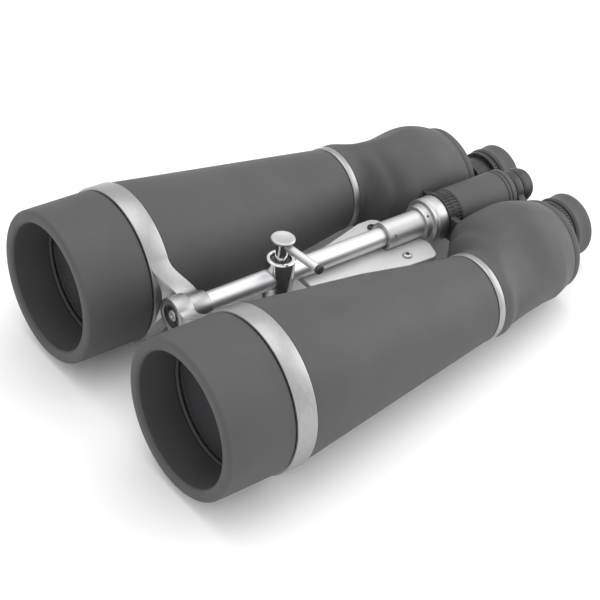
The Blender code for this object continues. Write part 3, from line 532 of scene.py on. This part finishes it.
for label, side in bothHalves:
    low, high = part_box("barrel_armour_" + label)
    x, z = axisOf("barrel_armour_" + label)
    length = high[1] - low[1]
    front, rear, thick, edge = barrel["front"], barrel["rear"], barrel["rubber"], barrel["edge"]
    slope = (front - rear) / length
    profile = [(front - thick, 0)] + quarter(front - edge, edge, edge, -90, 0, 4)
    profile += [(front - slope * length * share, length * share) for share in (0.25, 0.5, 0.75)]
    profile += quarter(rear - edge, length - edge, edge, 0, 90, 4) + [(rear - thick + 0.0005, length)]
    piece = turned("barrelArmour_" + label, profile, (x, low[1], z), steps=144, edge=0)
    wear(piece, rubber, "armour_rubber", label + "_half", "barrel_armour_" + label)

    low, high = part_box("trim_ring_" + label)
    radius = (high[0] - low[0]) / 2
    width = high[1] - low[1]
    profile = [(radius - 0.0038, 0), (radius - 0.0002, 0), (radius, 0.0006), (radius, width - 0.0006),
               (radius - 0.0002, width), (radius - 0.0038, width)]
    piece = turned("trimRing_" + label, profile, (x, low[1], z), steps=144, edge=0.0003)
    wear(piece, bandSilver, "brushed_silver", label + "_half", "trim_ring_" + label)
print("barrels made")


housing = {
    # rows: share of the length, inward, lift, up, down, slope of the upper outer quarter
    "rows": ((0.0, 0.0, 0.0, 0.0284, 0.0284, 1.0), (0.10, 0.0, 0.0, 0.0284, 0.0284, 1.0),
             (0.24, 0.0065, 0.002, 0.0300, 0.0310, 1.40), (0.42, 0.0120, 0.004, 0.0328, 0.0340, 1.60),
             (0.66, 0.0140, 0.004, 0.0350, 0.0335, 1.36), (0.86, 0.0160, 0.000, 0.0345, 0.0302, 1.12),
             (1.0, 0.0180, -0.002, 0.0315, 0.0290, 1.0)),
    "lowerPower": 0.78, "rodRoom": 0.0173, "wall": 0.0028, "rings": 44, "around": 96,
    "ridges": ((0.16, 0.030, 0.0014), (0.235, 0.026, -0.0015), (0.31, 0.034, 0.0018)),
    "coverEdge": 0.0024, "coverBore": 0.0142, "coverInset": 0.0006,
    "axis": 0.070, "throat": 0.0284, "coverAxis": 0.052, "coneGap": 0.0052, "barrelLength": 0.159,
    "tailIn": 0.0050, "kneeIn": 0.009,
}

housingFront, housingBack = (corner[1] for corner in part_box("prism_housing_left"))
housingLength = housingBack - housingFront


def housingRow(share):
    rows = housing["rows"]
    index = max(i for i in range(len(rows) - 1) if rows[i][0] <= share or i == 0)
    a, b = rows[index], rows[index + 1]
    before = rows[max(0, index - 1)]
    after = rows[min(len(rows) - 1, index + 2)]
    t = (share - a[0]) / (b[0] - a[0])
    values = []
    for k in range(1, 6):
        inSlope = (b[k] - before[k]) / max(b[0] - before[0], 0.001) if index else 0
        outSlope = (after[k] - a[k]) / max(after[0] - a[0], 0.001)
        span = b[0] - a[0]
        values.append((2 * t ** 3 - 3 * t ** 2 + 1) * a[k] + (t ** 3 - 2 * t ** 2 + t) * span * inSlope
                      + (3 * t ** 2 - 2 * t ** 3) * b[k] + (t ** 3 - t ** 2) * span * outSlope)
    return values


def housingReach(share):
    # outwards and inwards from the section's centre
    inward = housingRow(share)[0]
    centre = housing["axis"] - inward
    slope = (barrel["front"] - barrel["rear"]) / housing["barrelLength"]
    cone = barrel["rear"] - slope * (housing["coneGap"] + housingLength * share)
    front = housing["throat"]
    blend = min(1, max(0, (share - 0.08) / 0.16))
    blend = blend * blend * (3 - 2 * blend)
    outward = front + (inward + cone - housing["tailIn"] * max(0, share - 0.8) / 0.2 - front) * blend
    early = housing["kneeIn"] * min(1, max(0, (0.36 - share) / 0.12))
    reach = front + (centre - housing["rodRoom"] - early - front) * blend
    return outward, reach


def housingPoint(share, angle, side, grow=0.0):
    inward, lift, up, down, slope = housingRow(share)
    outward, reach = housingReach(share)
    across, rise = math.cos(angle), math.sin(angle)
    power = slope if across > 0 and rise > 0 else 1.0
    if across < 0 and rise < 0:
        power = 1 + (housing["lowerPower"] - 1) * min(1, max(0, (share - 0.08) / 0.16))
    ridge = sum(size * math.exp(-((share - at) / wide) ** 2) for at, wide, size in housing["ridges"])
    ridge *= max(0, -across) ** 0.7 * (0.5 + 0.5 * math.sin(angle)) if across < 0 else 0
    wide = (outward if across > 0 else reach) + grow + ridge
    high = (up if rise > 0 else down) + grow + ridge * 0.5
    x = housing["axis"] - inward + wide * math.copysign(abs(across) ** power, across)
    z = lift + high * math.copysign(abs(rise) ** power, rise)
    return side * x, z


def buildHousing(label, side, body):
    node = "prism_housing_" + label
    low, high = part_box(node)
    rims = high[1] - low[1]
    level = axisOf("objective_hood_" + label)[1]
    around, rings = housing["around"], housing["rings"]
    deselectAll()
    axis = side * housing["axis"]
    bpy.ops.mesh.primitive_circle_add(vertices=around, radius=housing["throat"],
                                      location=(axis, low[1], level), rotation=(math.pi / 2, 0, 0))
    piece = settle(bpy.context.object, "prismHousing_" + label)
    bpy.ops.object.mode_set(mode="EDIT")
    bpy.ops.mesh.select_all(action="SELECT")
    for _ in range(rings):
        bpy.ops.mesh.extrude_edges_move(TRANSFORM_OT_translate={"value": (0, rims / rings, 0)})
    bpy.ops.object.mode_set(mode="OBJECT")
    for vertex in piece.data.vertices:
        share = min(1, max(0, (vertex.co.y - low[1]) / rims))
        angle = math.atan2(vertex.co.z - level, side * (vertex.co.x - axis))
        x, z = housingPoint(share, angle, side)
        vertex.co.x, vertex.co.z = x, level + z
    cleanUp(piece)
    wall = piece.modifiers.new("wall", "SOLIDIFY")
    wall.thickness = housing["wall"]
    wall.offset = -1
    apply(piece, wall)
    roundEdges(piece, 0.0005, 2, 50)
    smooth(piece, 40)
    wear(piece, rubber, "armour_rubber", body, node)

    node = "rear_cover_" + label
    low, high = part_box(node)
    edge = housing["coverEdge"]
    deselectAll()
    axis = side * housing["coverAxis"]
    bpy.ops.mesh.primitive_circle_add(vertices=around, radius=0.02, location=(axis, low[1], level),
                                      rotation=(math.pi / 2, 0, 0), fill_type="NGON")
    cover = settle(bpy.context.object, "rearCover_" + label)
    for vertex in cover.data.vertices:
        angle = math.atan2(vertex.co.z - level, side * (vertex.co.x - axis))
        x, z = housingPoint(1.0, angle, side, -housing["coverInset"])
        vertex.co.x, vertex.co.z = x, level + z
    bpy.ops.object.mode_set(mode="EDIT")
    bpy.ops.mesh.select_all(action="SELECT")
    bpy.ops.mesh.extrude_region_move(TRANSFORM_OT_translate={"value": (0, high[1] - low[1], 0)})
    bpy.ops.object.mode_set(mode="OBJECT")
    cleanUp(cover)
    roundEdges(cover, edge, 5, 60)
    x, z = axisOf("eyepiece_tube_" + label)
    deselectAll()
    bpy.ops.mesh.primitive_cylinder_add(vertices=96, radius=housing["coverBore"], depth=0.04,
                                        location=(x, (low[1] + high[1]) / 2, z),
                                        rotation=(math.pi / 2, 0, 0))
    combine(cover, settle(bpy.context.object, "coverDrill"), "DIFFERENCE")
    roundEdges(cover, 0.0004, 2, 60)
    smooth(cover, 40)
    wear(cover, rubber, "black_plastic", body, node)


for label, side in bothHalves:
    buildHousing(label, side, label + "_half")
print("housings made")


rodShape = {"chamfer": 0.0005, "tailRadius": 0.0050, "tailLength": 0.0130, "slotRadius": 0.0010,
            "slotDeep": 0.0011, "slotFlare": 0.0004}


def buildRod():
    low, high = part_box("hinge_rod")
    radius = (high[0] - low[0]) / 2
    end = high[1] - low[1]
    chamfer, tail, tailFrom = rodShape["chamfer"], rodShape["tailRadius"], end - rodShape["tailLength"]
    profile = [(0, 0), (radius - chamfer, 0), (radius, chamfer), (radius, tailFrom), (tail, tailFrom),
               (tail, end - chamfer), (tail - chamfer, end), (0, end)]
    bar = turned("hingeRod", profile, (rodAxis.x, low[1], rodAxis.z), steps=96, edge=0, closed=False)
    wear(bar, rodChrome, "polished_chrome", "left_half", "hinge_rod")
    bar.data.materials.append(blackMetal)
    for face in bar.data.polygons:
        face.material_index = int(face.normal.y < -0.5)

    low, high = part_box("rod_end_screw")
    radius = (high[0] - low[0]) / 2
    end = high[1] - low[1]
    slot, deep = rodShape["slotRadius"], rodShape["slotDeep"]
    profile = [(0, deep), (slot, deep), (slot + rodShape["slotFlare"], 0), (radius - chamfer, 0),
               (radius, chamfer), (radius, end), (0, end)]
    screw = turned("rodEndScrew", profile, (rodAxis.x, low[1], rodAxis.z), steps=48, edge=0.0001,
                   closed=False)
    wear(screw, silver, "brushed_silver", "left_half", "rod_end_screw")


sleeveShape = {"bore": 0.00675, "radius": 0.0092, "step": 0.0116, "collar": 0.01475,
               "stepAt": 0.0295, "collarAt": 0.0345, "grooveDeep": 0.0006,
               "grooveAt": (0.0018, 0.0022, 0.0030, 0.0034), "gripTurn": math.radians(38),
               "gripRadius": 0.0009, "lockTurn": math.radians(66), "lockRadius": 0.0013}


def buildSleeve():
    low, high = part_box("rod_sleeve")
    end = high[1] - low[1]
    bore, sleeve, step, collar = (sleeveShape[size] for size in ("bore", "radius", "step", "collar"))
    stepAt, collarAt, deep = sleeveShape["stepAt"], sleeveShape["collarAt"], sleeveShape["grooveDeep"]
    grooveA, grooveB, grooveC, grooveD = (collarAt + at for at in sleeveShape["grooveAt"])
    profile = [(bore, 0), (sleeve, 0), (sleeve, stepAt), (step, stepAt), (step, collarAt - deep),
               (step + deep, collarAt), (collar, collarAt), (collar, grooveA), (collar - deep, grooveB),
               (collar - deep, grooveC), (collar, grooveD), (collar, end), (bore, end)]
    tube = turned("rodSleeve", profile, (rodAxis.x, low[1], rodAxis.z), steps=96, edge=0.0005)
    tilt, grip, lock = sleeveShape["gripTurn"], sleeveShape["gripRadius"], sleeveShape["lockRadius"]
    way = Vector((math.sin(tilt), 0, math.cos(tilt)))
    hole = turned("gripHole", [(0, -0.0022), (grip, -0.0022), (grip, 0.002), (0, 0.002)],
                  rodAxis + way * step + Vector((0, low[1] + stepAt + 0.0026, 0)), way, 24, 0, False)
    combine(tube, hole, "DIFFERENCE")
    tilt = sleeveShape["lockTurn"]
    way = Vector((math.sin(tilt), 0, math.cos(tilt)))
    hole = turned("lockHole", [(0, -0.0016), (lock, -0.0016), (lock, 0.002), (0, 0.002)],
                  rodAxis + way * sleeve + Vector((0, low[1] + 0.0045, 0)), way, 24, 0, False)
    combine(tube, hole, "DIFFERENCE")
    smooth(tube)
    wear(tube, silver, "brushed_silver", "left_half", "rod_sleeve")


plateShape = {"nose": 0.0115, "half": 0.0262, "bulge": 0.01765, "shoulder": 0.0359, "wide": 0.0688,
              "thick": 0.0040, "end": 0.0960, "sleeveRoom": 0.0095, "stepRoom": 0.0119,
              "stepAt": 0.0292, "screwHole": 0.0019}


def buildPlate():
    low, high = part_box("spine_plate")
    nose, half, bulge = plateShape["nose"], plateShape["half"], plateShape["bulge"]
    outline = [(nose, 0), (bulge, plateShape["shoulder"]), (half, plateShape["wide"])]
    outline += quarter(half - 0.005, 0.0875, 0.006, 0, 70, 8)
    outline += [(0.0150, plateShape["end"]), (-0.0130, plateShape["end"]), (-0.0140, 0.0863)]
    outline += quarter(-half + 0.0075, 0.0768, 0.0075, 100, 180, 8)
    outline += [(-half, plateShape["wide"]), (-bulge, plateShape["shoulder"]), (-nose, 0)]
    points = [(x, low[1] + y, low[2]) for x, y in outline]
    plate = drawLine("spinePlate", points)
    bpy.ops.object.mode_set(mode="EDIT")
    bpy.ops.mesh.select_all(action="SELECT")
    bpy.ops.mesh.remove_doubles(threshold=0.000004)
    bpy.ops.mesh.edge_face_add()
    bpy.ops.mesh.extrude_region_move(TRANSFORM_OT_translate={"value": (0, 0, plateShape["thick"])})
    bpy.ops.object.mode_set(mode="OBJECT")
    cleanUp(plate)
    roundEdges(plate, 0.0006, 3, 40)
    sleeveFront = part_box("rod_sleeve")[0][1]
    back = high[1] - sleeveFront + 0.01
    narrow, wide, stepAt = plateShape["sleeveRoom"], plateShape["stepRoom"], plateShape["stepAt"]
    cut = [(0, back), (wide, back), (wide, stepAt), (narrow, stepAt), (narrow, -0.0003), (0, -0.0003)]
    groove = turned("plateGroove", cut, (rodAxis.x, sleeveFront, rodAxis.z), steps=96, edge=0,
                    closed=False)
    combine(plate, groove, "DIFFERENCE")
    for label, side in bothHalves:
        screwLow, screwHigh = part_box("plate_screw_" + label)
        deselectAll()
        bpy.ops.mesh.primitive_cylinder_add(vertices=32, radius=plateShape["screwHole"], depth=0.02,
                                            location=((screwLow[0] + screwHigh[0]) / 2,
                                                      (screwLow[1] + screwHigh[1]) / 2, low[2]))
        combine(plate, settle(bpy.context.object, "screwDrill"), "DIFFERENCE")
    smooth(plate, 30)
    wear(plate, plateSilver, "brushed_silver", "left_half", "spine_plate")
    for label, side in bothHalves:
        low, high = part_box("plate_screw_" + label)
        centre = ((low[0] + high[0]) / 2, (low[1] + high[1]) / 2, low[2])
        tall = high[2] - low[2]
        head = [(0, tall - 0.0009), (0.0013, tall - 0.0009), (0.0014, tall), (0.0024, tall - 0.0001),
                (0.0030, tall - 0.0006), (0.0032, tall - 0.0015), (0.0015, tall - 0.0015),
                (0.0015, 0), (0, 0)]
        screw = turned("plateScrew_" + label, head, centre, (0, 0, 1), 40, 0.0001, False)
        wear(screw, blackMetal, "black_metal", "left_half", "plate_screw_" + label)
        screw.data.materials.append(silver)
        for face in screw.data.polygons:
            offset = math.hypot(face.center[0] - centre[0], face.center[1] - centre[1])
            face.material_index = int(side > 0 and offset > 0.0014)


buildRod()
buildSleeve()
buildPlate()
print("hinge made")


knuckleRing = {"radius": 0.0154, "bore": 0.00685, "ribs": 40, "depth": 0.0007,
               "lugFrom": 0.0105, "lugTo": 0.0235, "lugTall": 0.0170, "lugDrop": 0.0015}

for label, side in bothHalves:
    low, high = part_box("hinge_knuckle_" + label)
    width = high[1] - low[1]
    piece = ribbed("hingeKnuckle_" + label, knuckleRing["bore"], knuckleRing["radius"], low[1], high[1],
                   (rodAxis.x, 0, rodAxis.z), knuckleRing["ribs"], knuckleRing["depth"])
    deselectAll()
    near, far = knuckleRing["lugFrom"], knuckleRing["lugTo"]
    bpy.ops.mesh.primitive_cube_add(size=1, location=(side * (near + far) / 2, (low[1] + high[1]) / 2,
                                                      rodAxis.z - knuckleRing["lugDrop"]))
    lug = bpy.context.object
    lug.scale = (far - near, width - 0.0004, knuckleRing["lugTall"])
    settle(lug, "knuckleLug_" + label)
    roundEdges(lug, 0.0008, 3, 40)
    combine(piece, lug, "UNION")
    smooth(piece, 25)
    wear(piece, blackMetal, "black_metal", label + "_half", "hinge_knuckle_" + label)


wheelShape = {"groove": 0.0006, "grooves": (0.0045, 0.0075), "corner": 0.0010}


def buildWheel():
    low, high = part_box("focus_wheel")
    radius = (high[0] - low[0]) / 2
    end = high[1] - low[1]
    deep, corner = wheelShape["groove"], wheelShape["corner"]
    outside = quarter(radius - corner, corner, corner, -90, 0, 4)
    for at in sorted((end - g for g in wheelShape["grooves"])):
        outside += [(radius, at - 0.0008), (radius - deep, at - 0.0004), (radius - deep, at + 0.0004),
                    (radius, at + 0.0008)]
    outside += quarter(radius - corner, end - corner, corner, 0, 90, 4)
    inside = [(0.0044, end), (0.0044, 0.0142), (0.0054, 0.0142), (0.0054, 0)]
    wheel = turned("focusWheel", outside + inside, (rodAxis.x, low[1], rodAxis.z), steps=96, edge=0)
    wear(wheel, rubber, "armour_rubber", "focus_wheel", "focus_wheel")

    low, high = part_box("bridge_cap")
    radius = (high[0] - low[0]) / 2
    end = high[1] - low[1]
    crown = 0.0035
    dome = [(0, 0), (radius, 0), (radius, 0.0012)]
    dome += quarter(radius - crown, end - crown, crown, 0, 90, 8)
    dome += [(0.0040, end), (0.0034, end - 0.0006), (0, end - 0.0006)]
    cap = turned("bridgeCap", dome, (rodAxis.x, low[1], rodAxis.z), steps=64, edge=0.0002, closed=False)
    wear(cap, blackMetal, "black_metal", "ocular_bridge", "bridge_cap")
    low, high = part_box("focus_shaft")
    radius = (high[0] - low[0]) / 2
    end = high[1] - low[1]
    turns = [(0, 0), (radius - 0.0005, 0), (radius, 0.0005)]
    for turn in range(11):
        at = 0.004 + 0.002 * turn
        turns += [(radius, at), (radius - 0.0004, at + 0.0007), (radius, at + 0.0014)]
    turns += [(radius, end), (0, end)]
    shaft = turned("focusShaft", turns, (rodAxis.x, low[1], rodAxis.z), steps=48, edge=0, closed=False)
    wear(shaft, silver, "brushed_silver", "ocular_bridge", "focus_shaft")


buildWheel()
print("wheel made")


ocular = {"ringRadius": 0.0178, "ringBore": 0.0141, "hubRadius": 0.0125, "bore": 0.0040,
          "armLength": 0.0126, "spreads": (math.radians(48), math.radians(46))}
eyecup = {"lip": 0.0018, "mouth": 0.0160, "waist": 0.0008, "bore": 0.0181, "floor": 0.0105}
eyeTube = {"nose": 0.0124, "noseBore": 0.0114, "noseEnd": 0.0073, "neck": 0.0138, "bodyLength": 0.0105,
           "lensBore": 0.0133, "lensDeep": 0.0085, "bore": 0.0108, "noseDeep": 0.0050}
eyeLens = {"dome": 0.0012, "rings": 8}

for label, side in bothHalves:
    armBody, eyeBody, ringBody = (("ocular_bridge",) * 3 if label == "left" else
                                  ("right_ocular", "right_eyepiece", "diopter"))
    node = "ocular_arm_" + label
    low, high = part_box(node)
    x, z = axisOf("eyepiece_tube_" + label)
    middle = low[1] + ocular["armLength"] / 2
    hub = {"radius": ocular["hubRadius"], "bore": ocular["bore"]}
    hub["start"], hub["end"] = (low[1], middle) if label == "left" else (middle + 0.0003, high[1])
    ring = [(ocular["ringBore"], low[1]), (ocular["ringRadius"], low[1]),
            (ocular["ringRadius"], high[1]), (ocular["ringBore"], high[1])]
    buildHingedRing("ocularArm_" + label, (x, z), ring, hub, ocular["spreads"], blackMetal,
                    "black_metal", armBody, node)

    low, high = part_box("eyepiece_tube_" + label)
    body = (high[0] - low[0]) / 2
    end = high[1] - low[1]
    bodyFrom, lensSeat = end - eyeTube["bodyLength"], end - eyeTube["lensDeep"]
    nose, noseBore, neck = eyeTube["nose"], eyeTube["noseBore"], eyeTube["neck"]
    noseEnd, noseDeep = eyeTube["noseEnd"], eyeTube["noseDeep"]
    lensBore, bore = eyeTube["lensBore"], eyeTube["bore"]
    profile = [(noseBore, 0), (nose, 0), (nose, noseEnd), (neck, noseEnd), (neck, bodyFrom),
               (body, bodyFrom), (body, end), (lensBore, end), (lensBore, lensSeat), (bore, lensSeat),
               (bore, noseDeep), (noseBore, noseDeep)]
    tube = turned("eyepieceTube_" + label, profile, (x, low[1], z), steps=96, edge=0.0002)
    wear(tube, blackMetal, "black_metal", eyeBody, "eyepiece_tube_" + label)

    low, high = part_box("eye_lens_" + label)
    radius = (high[0] - low[0]) / 2
    thick = high[1] - low[1]
    dome, rings = eyeLens["dome"], eyeLens["rings"]
    shape = [(radius * i / rings, dome * (i / rings) ** 2) for i in range(rings + 1)]
    shape += [(radius * i / rings, thick - dome * (i / rings) ** 2) for i in range(rings, -1, -1)]
    lens = turned("eyeLens_" + label, shape, (x, low[1], z), steps=64, edge=0.0001, closed=False)
    wear(lens, lensGlass, "coated_glass", eyeBody, "eye_lens_" + label)

    low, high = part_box("eyecup_" + label)
    outer = (high[0] - low[0]) / 2
    end = high[1] - low[1]
    lip, mouth = eyecup["lip"], eyecup["mouth"]
    profile = [(eyecup["bore"], 0), (outer - 0.0014, 0), (outer - 0.0002, 0.0016), (outer - 0.0004, 0.0030),
               (outer - eyecup["waist"], 0.0060), (outer - 0.0003, 0.0095)]
    profile += quarter(outer - lip, end - lip, lip, 0, 90, 6)
    profile += quarter(mouth + lip, end - lip, lip, 90, 180, 6)
    profile += [(mouth, eyecup["floor"]), (eyecup["bore"], eyecup["floor"])]
    cup = turned("eyecup_" + label + "Rubber", profile, (x, low[1], z), steps=96, edge=0.0002)
    wear(cup, rubber, "armour_rubber", eyeBody, "eyecup_" + label)

    node = "eyepiece_ring_left" if label == "left" else "diopter_ring_right"
    low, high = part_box(node)
    outer = (high[0] - low[0]) / 2
    grip = ribbed("eyepieceRing_" + label, 0.0142, outer, low[1], high[1], (x, 0, z), 56, 0.0005)
    wear(grip, plastic, "black_plastic", ringBody, node)
print("eyepieces made")


post = {"cup": 0.0066, "hole": 0.0032, "holeDeep": 0.0120, "rodBore": 0.00685}


def buildPost():
    low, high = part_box("tripod_post")
    centre = ((low[0] + high[0]) / 2, (low[1] + high[1]) / 2, rodAxis.z)
    radius = (high[0] - low[0]) / 2
    bottom, top = low[2] - rodAxis.z, high[2] - rodAxis.z
    hole, cup = post["hole"], post["cup"]
    profile = [(0, bottom + post["holeDeep"]), (hole, bottom + post["holeDeep"]), (hole, bottom),
               (radius - 0.0008, bottom), (radius, bottom + 0.0008), (radius, top - 0.0008),
               (radius - 0.0008, top), (cup + 0.0004, top), (cup, top - 0.0004), (cup, 0), (0, 0)]
    column = turned("tripodPost", profile, centre, (0, 0, 1), 96, 0.0003, False)
    deselectAll()
    bpy.ops.mesh.primitive_cylinder_add(vertices=96, radius=post["rodBore"], depth=0.04, location=centre,
                                        rotation=(math.pi / 2, 0, 0))
    combine(column, settle(bpy.context.object, "rodDrill"), "DIFFERENCE")
    smooth(column)
    wear(column, chrome, "polished_chrome", "tripod_post", "tripod_post")
    return centre


clamp = {"disc": 0.0076, "discThick": 0.0020, "neck": 0.0038, "foot": 0.0062, "footAt": 0.0095,
         "top": 0.0284, "lever": 0.0027, "leverFrom": 0.0050, "reach": 0.0330, "tip": 0.0026,
         "turn": math.radians(6)}


def buildClamp(centre):
    top, disc, thick, neck = clamp["top"], clamp["disc"], clamp["discThick"], clamp["neck"]
    foot, at = clamp["foot"], clamp["footAt"]
    under = top - thick
    profile = [(0, top - 0.0002), (disc - 0.0022, top - 0.0002), (disc - 0.0016, top), (disc - 0.0006, top),
               (disc, top - 0.0006), (disc, under + 0.0005), (disc - 0.0005, under), (neck, under),
               (neck, at + 0.0022), (foot, at + 0.0022), (foot, at), (0, at)]
    screw = turned("clampScrew", profile, centre, (0, 0, 1), 64, 0.0002, False)
    wear(screw, silver, "brushed_silver", "clamp", "clamp_screw")
    screw.data.materials.append(chrome)
    screw.data.materials.append(blackMetal)
    for face in screw.data.polygons:
        # painted shade: the foot of the clamp screw, down in the post's cup, takes the black casting so
        # that the cup reads dark; the neck is chrome and the disc satin silver
        height = face.center[2] - centre[2]
        face.material_index = 2 if height < at + 0.0025 else int(height < under)
    way = Vector((math.cos(clamp["turn"]), math.sin(clamp["turn"]), 0))
    start = Vector(centre) + Vector((0, 0, under - clamp["lever"] - 0.0003))
    radius, reach = clamp["lever"], clamp["reach"] - clamp["tip"]
    profile = [(0, 0.0028), (radius * 0.6, 0.0028), (radius * 0.6, clamp["leverFrom"])]
    profile += quarter(radius - 0.0008, clamp["leverFrom"] + 0.0008, 0.0008, -90, 0, 3)
    profile += [(radius, reach), (0, reach)]
    bar = turned("clampLever", profile, start, way, 48, 0, False)
    wear(bar, rodChrome, "polished_chrome", "clamp", "clamp_lever")
    radius += 0.0003
    end = clamp["reach"] + 0.0003
    profile = [(0, reach + 0.0003), (radius - 0.0003, reach + 0.0003), (radius, reach + 0.0006)]
    profile += quarter(radius - 0.0009, end - 0.0009, 0.0009, 0, 90, 4) + [(0, end)]
    tip = turned("leverTip", profile, start, way, 48, 0, False)
    wear(tip, plastic, "black_plastic", "clamp", "lever_tip")


buildClamp(buildPost())
print("post made")


stage = {"floor": 5.0, "world": 1.0}


def buildStage():
    # the floor touches the front bands and the eyecups
    bands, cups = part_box("front_bracket_left"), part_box("eyecup_left")
    bandY = (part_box("barrel_armour_left")[0][1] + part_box("objective_hood_left")[1][1]) / 2
    rise = (cups[0][2] - bands[0][2]) / (cups[1][1] - 0.002 - bandY)
    tilt = math.atan(rise)
    deselectAll()
    bpy.ops.mesh.primitive_plane_add(size=stage["floor"], location=(0, bandY, -0.0002),
                                     rotation=(tilt, 0, 0))
    floor = settle(bpy.context.object, "floor")
    floor.data.materials.append(floorFinish())

    world = bpy.data.worlds.new("studio")
    world.use_nodes = True
    world.node_tree.nodes["Background"].inputs["Color"].default_value = (1, 1, 1, 1)
    world.node_tree.nodes["Background"].inputs["Strength"].default_value = stage["world"]
    bpy.context.scene.world = world


lamps = {"key": {"place": (-0.25, 0.05, 1.6), "size": 1.5, "power": 10},
         "back": {"place": (0.35, 0.85, 0.5), "size": 0.9, "power": 5},
         "fill": {"place": (1.4, -1.0, 0.9), "size": 1.4, "power": 3}}


def buildLamps():
    for name, lamp in lamps.items():
        light = bpy.data.lights.new(name, "AREA")
        light.size = lamp["size"]
        light.energy = lamp["power"]
        holder = bpy.data.objects.new(name, light)
        holder.location = lamp["place"]
        holder.rotation_euler = (-Vector(lamp["place"])).to_track_quat("-Z", "Y").to_euler()
        bpy.context.scene.collection.objects.link(holder)


shot = {"place": (0.5993, -0.5727, 0.6384), "turn": (52.908, -5.675, 52.164), "lens": 96.57}


def buildCamera():
    camera = bpy.data.cameras.new("camera")
    camera.lens = shot["lens"]
    camera.sensor_width = 36
    camera.clip_end = 20
    holder = bpy.data.objects.new("camera", camera)
    holder.location = shot["place"]
    holder.rotation_euler = [math.radians(angle) for angle in shot["turn"]]
    bpy.context.scene.collection.objects.link(holder)
    bpy.context.scene.camera = holder


buildStage()
buildLamps()
buildCamera()
bpy.context.scene.view_settings.view_transform = "Standard"
print("stage set")
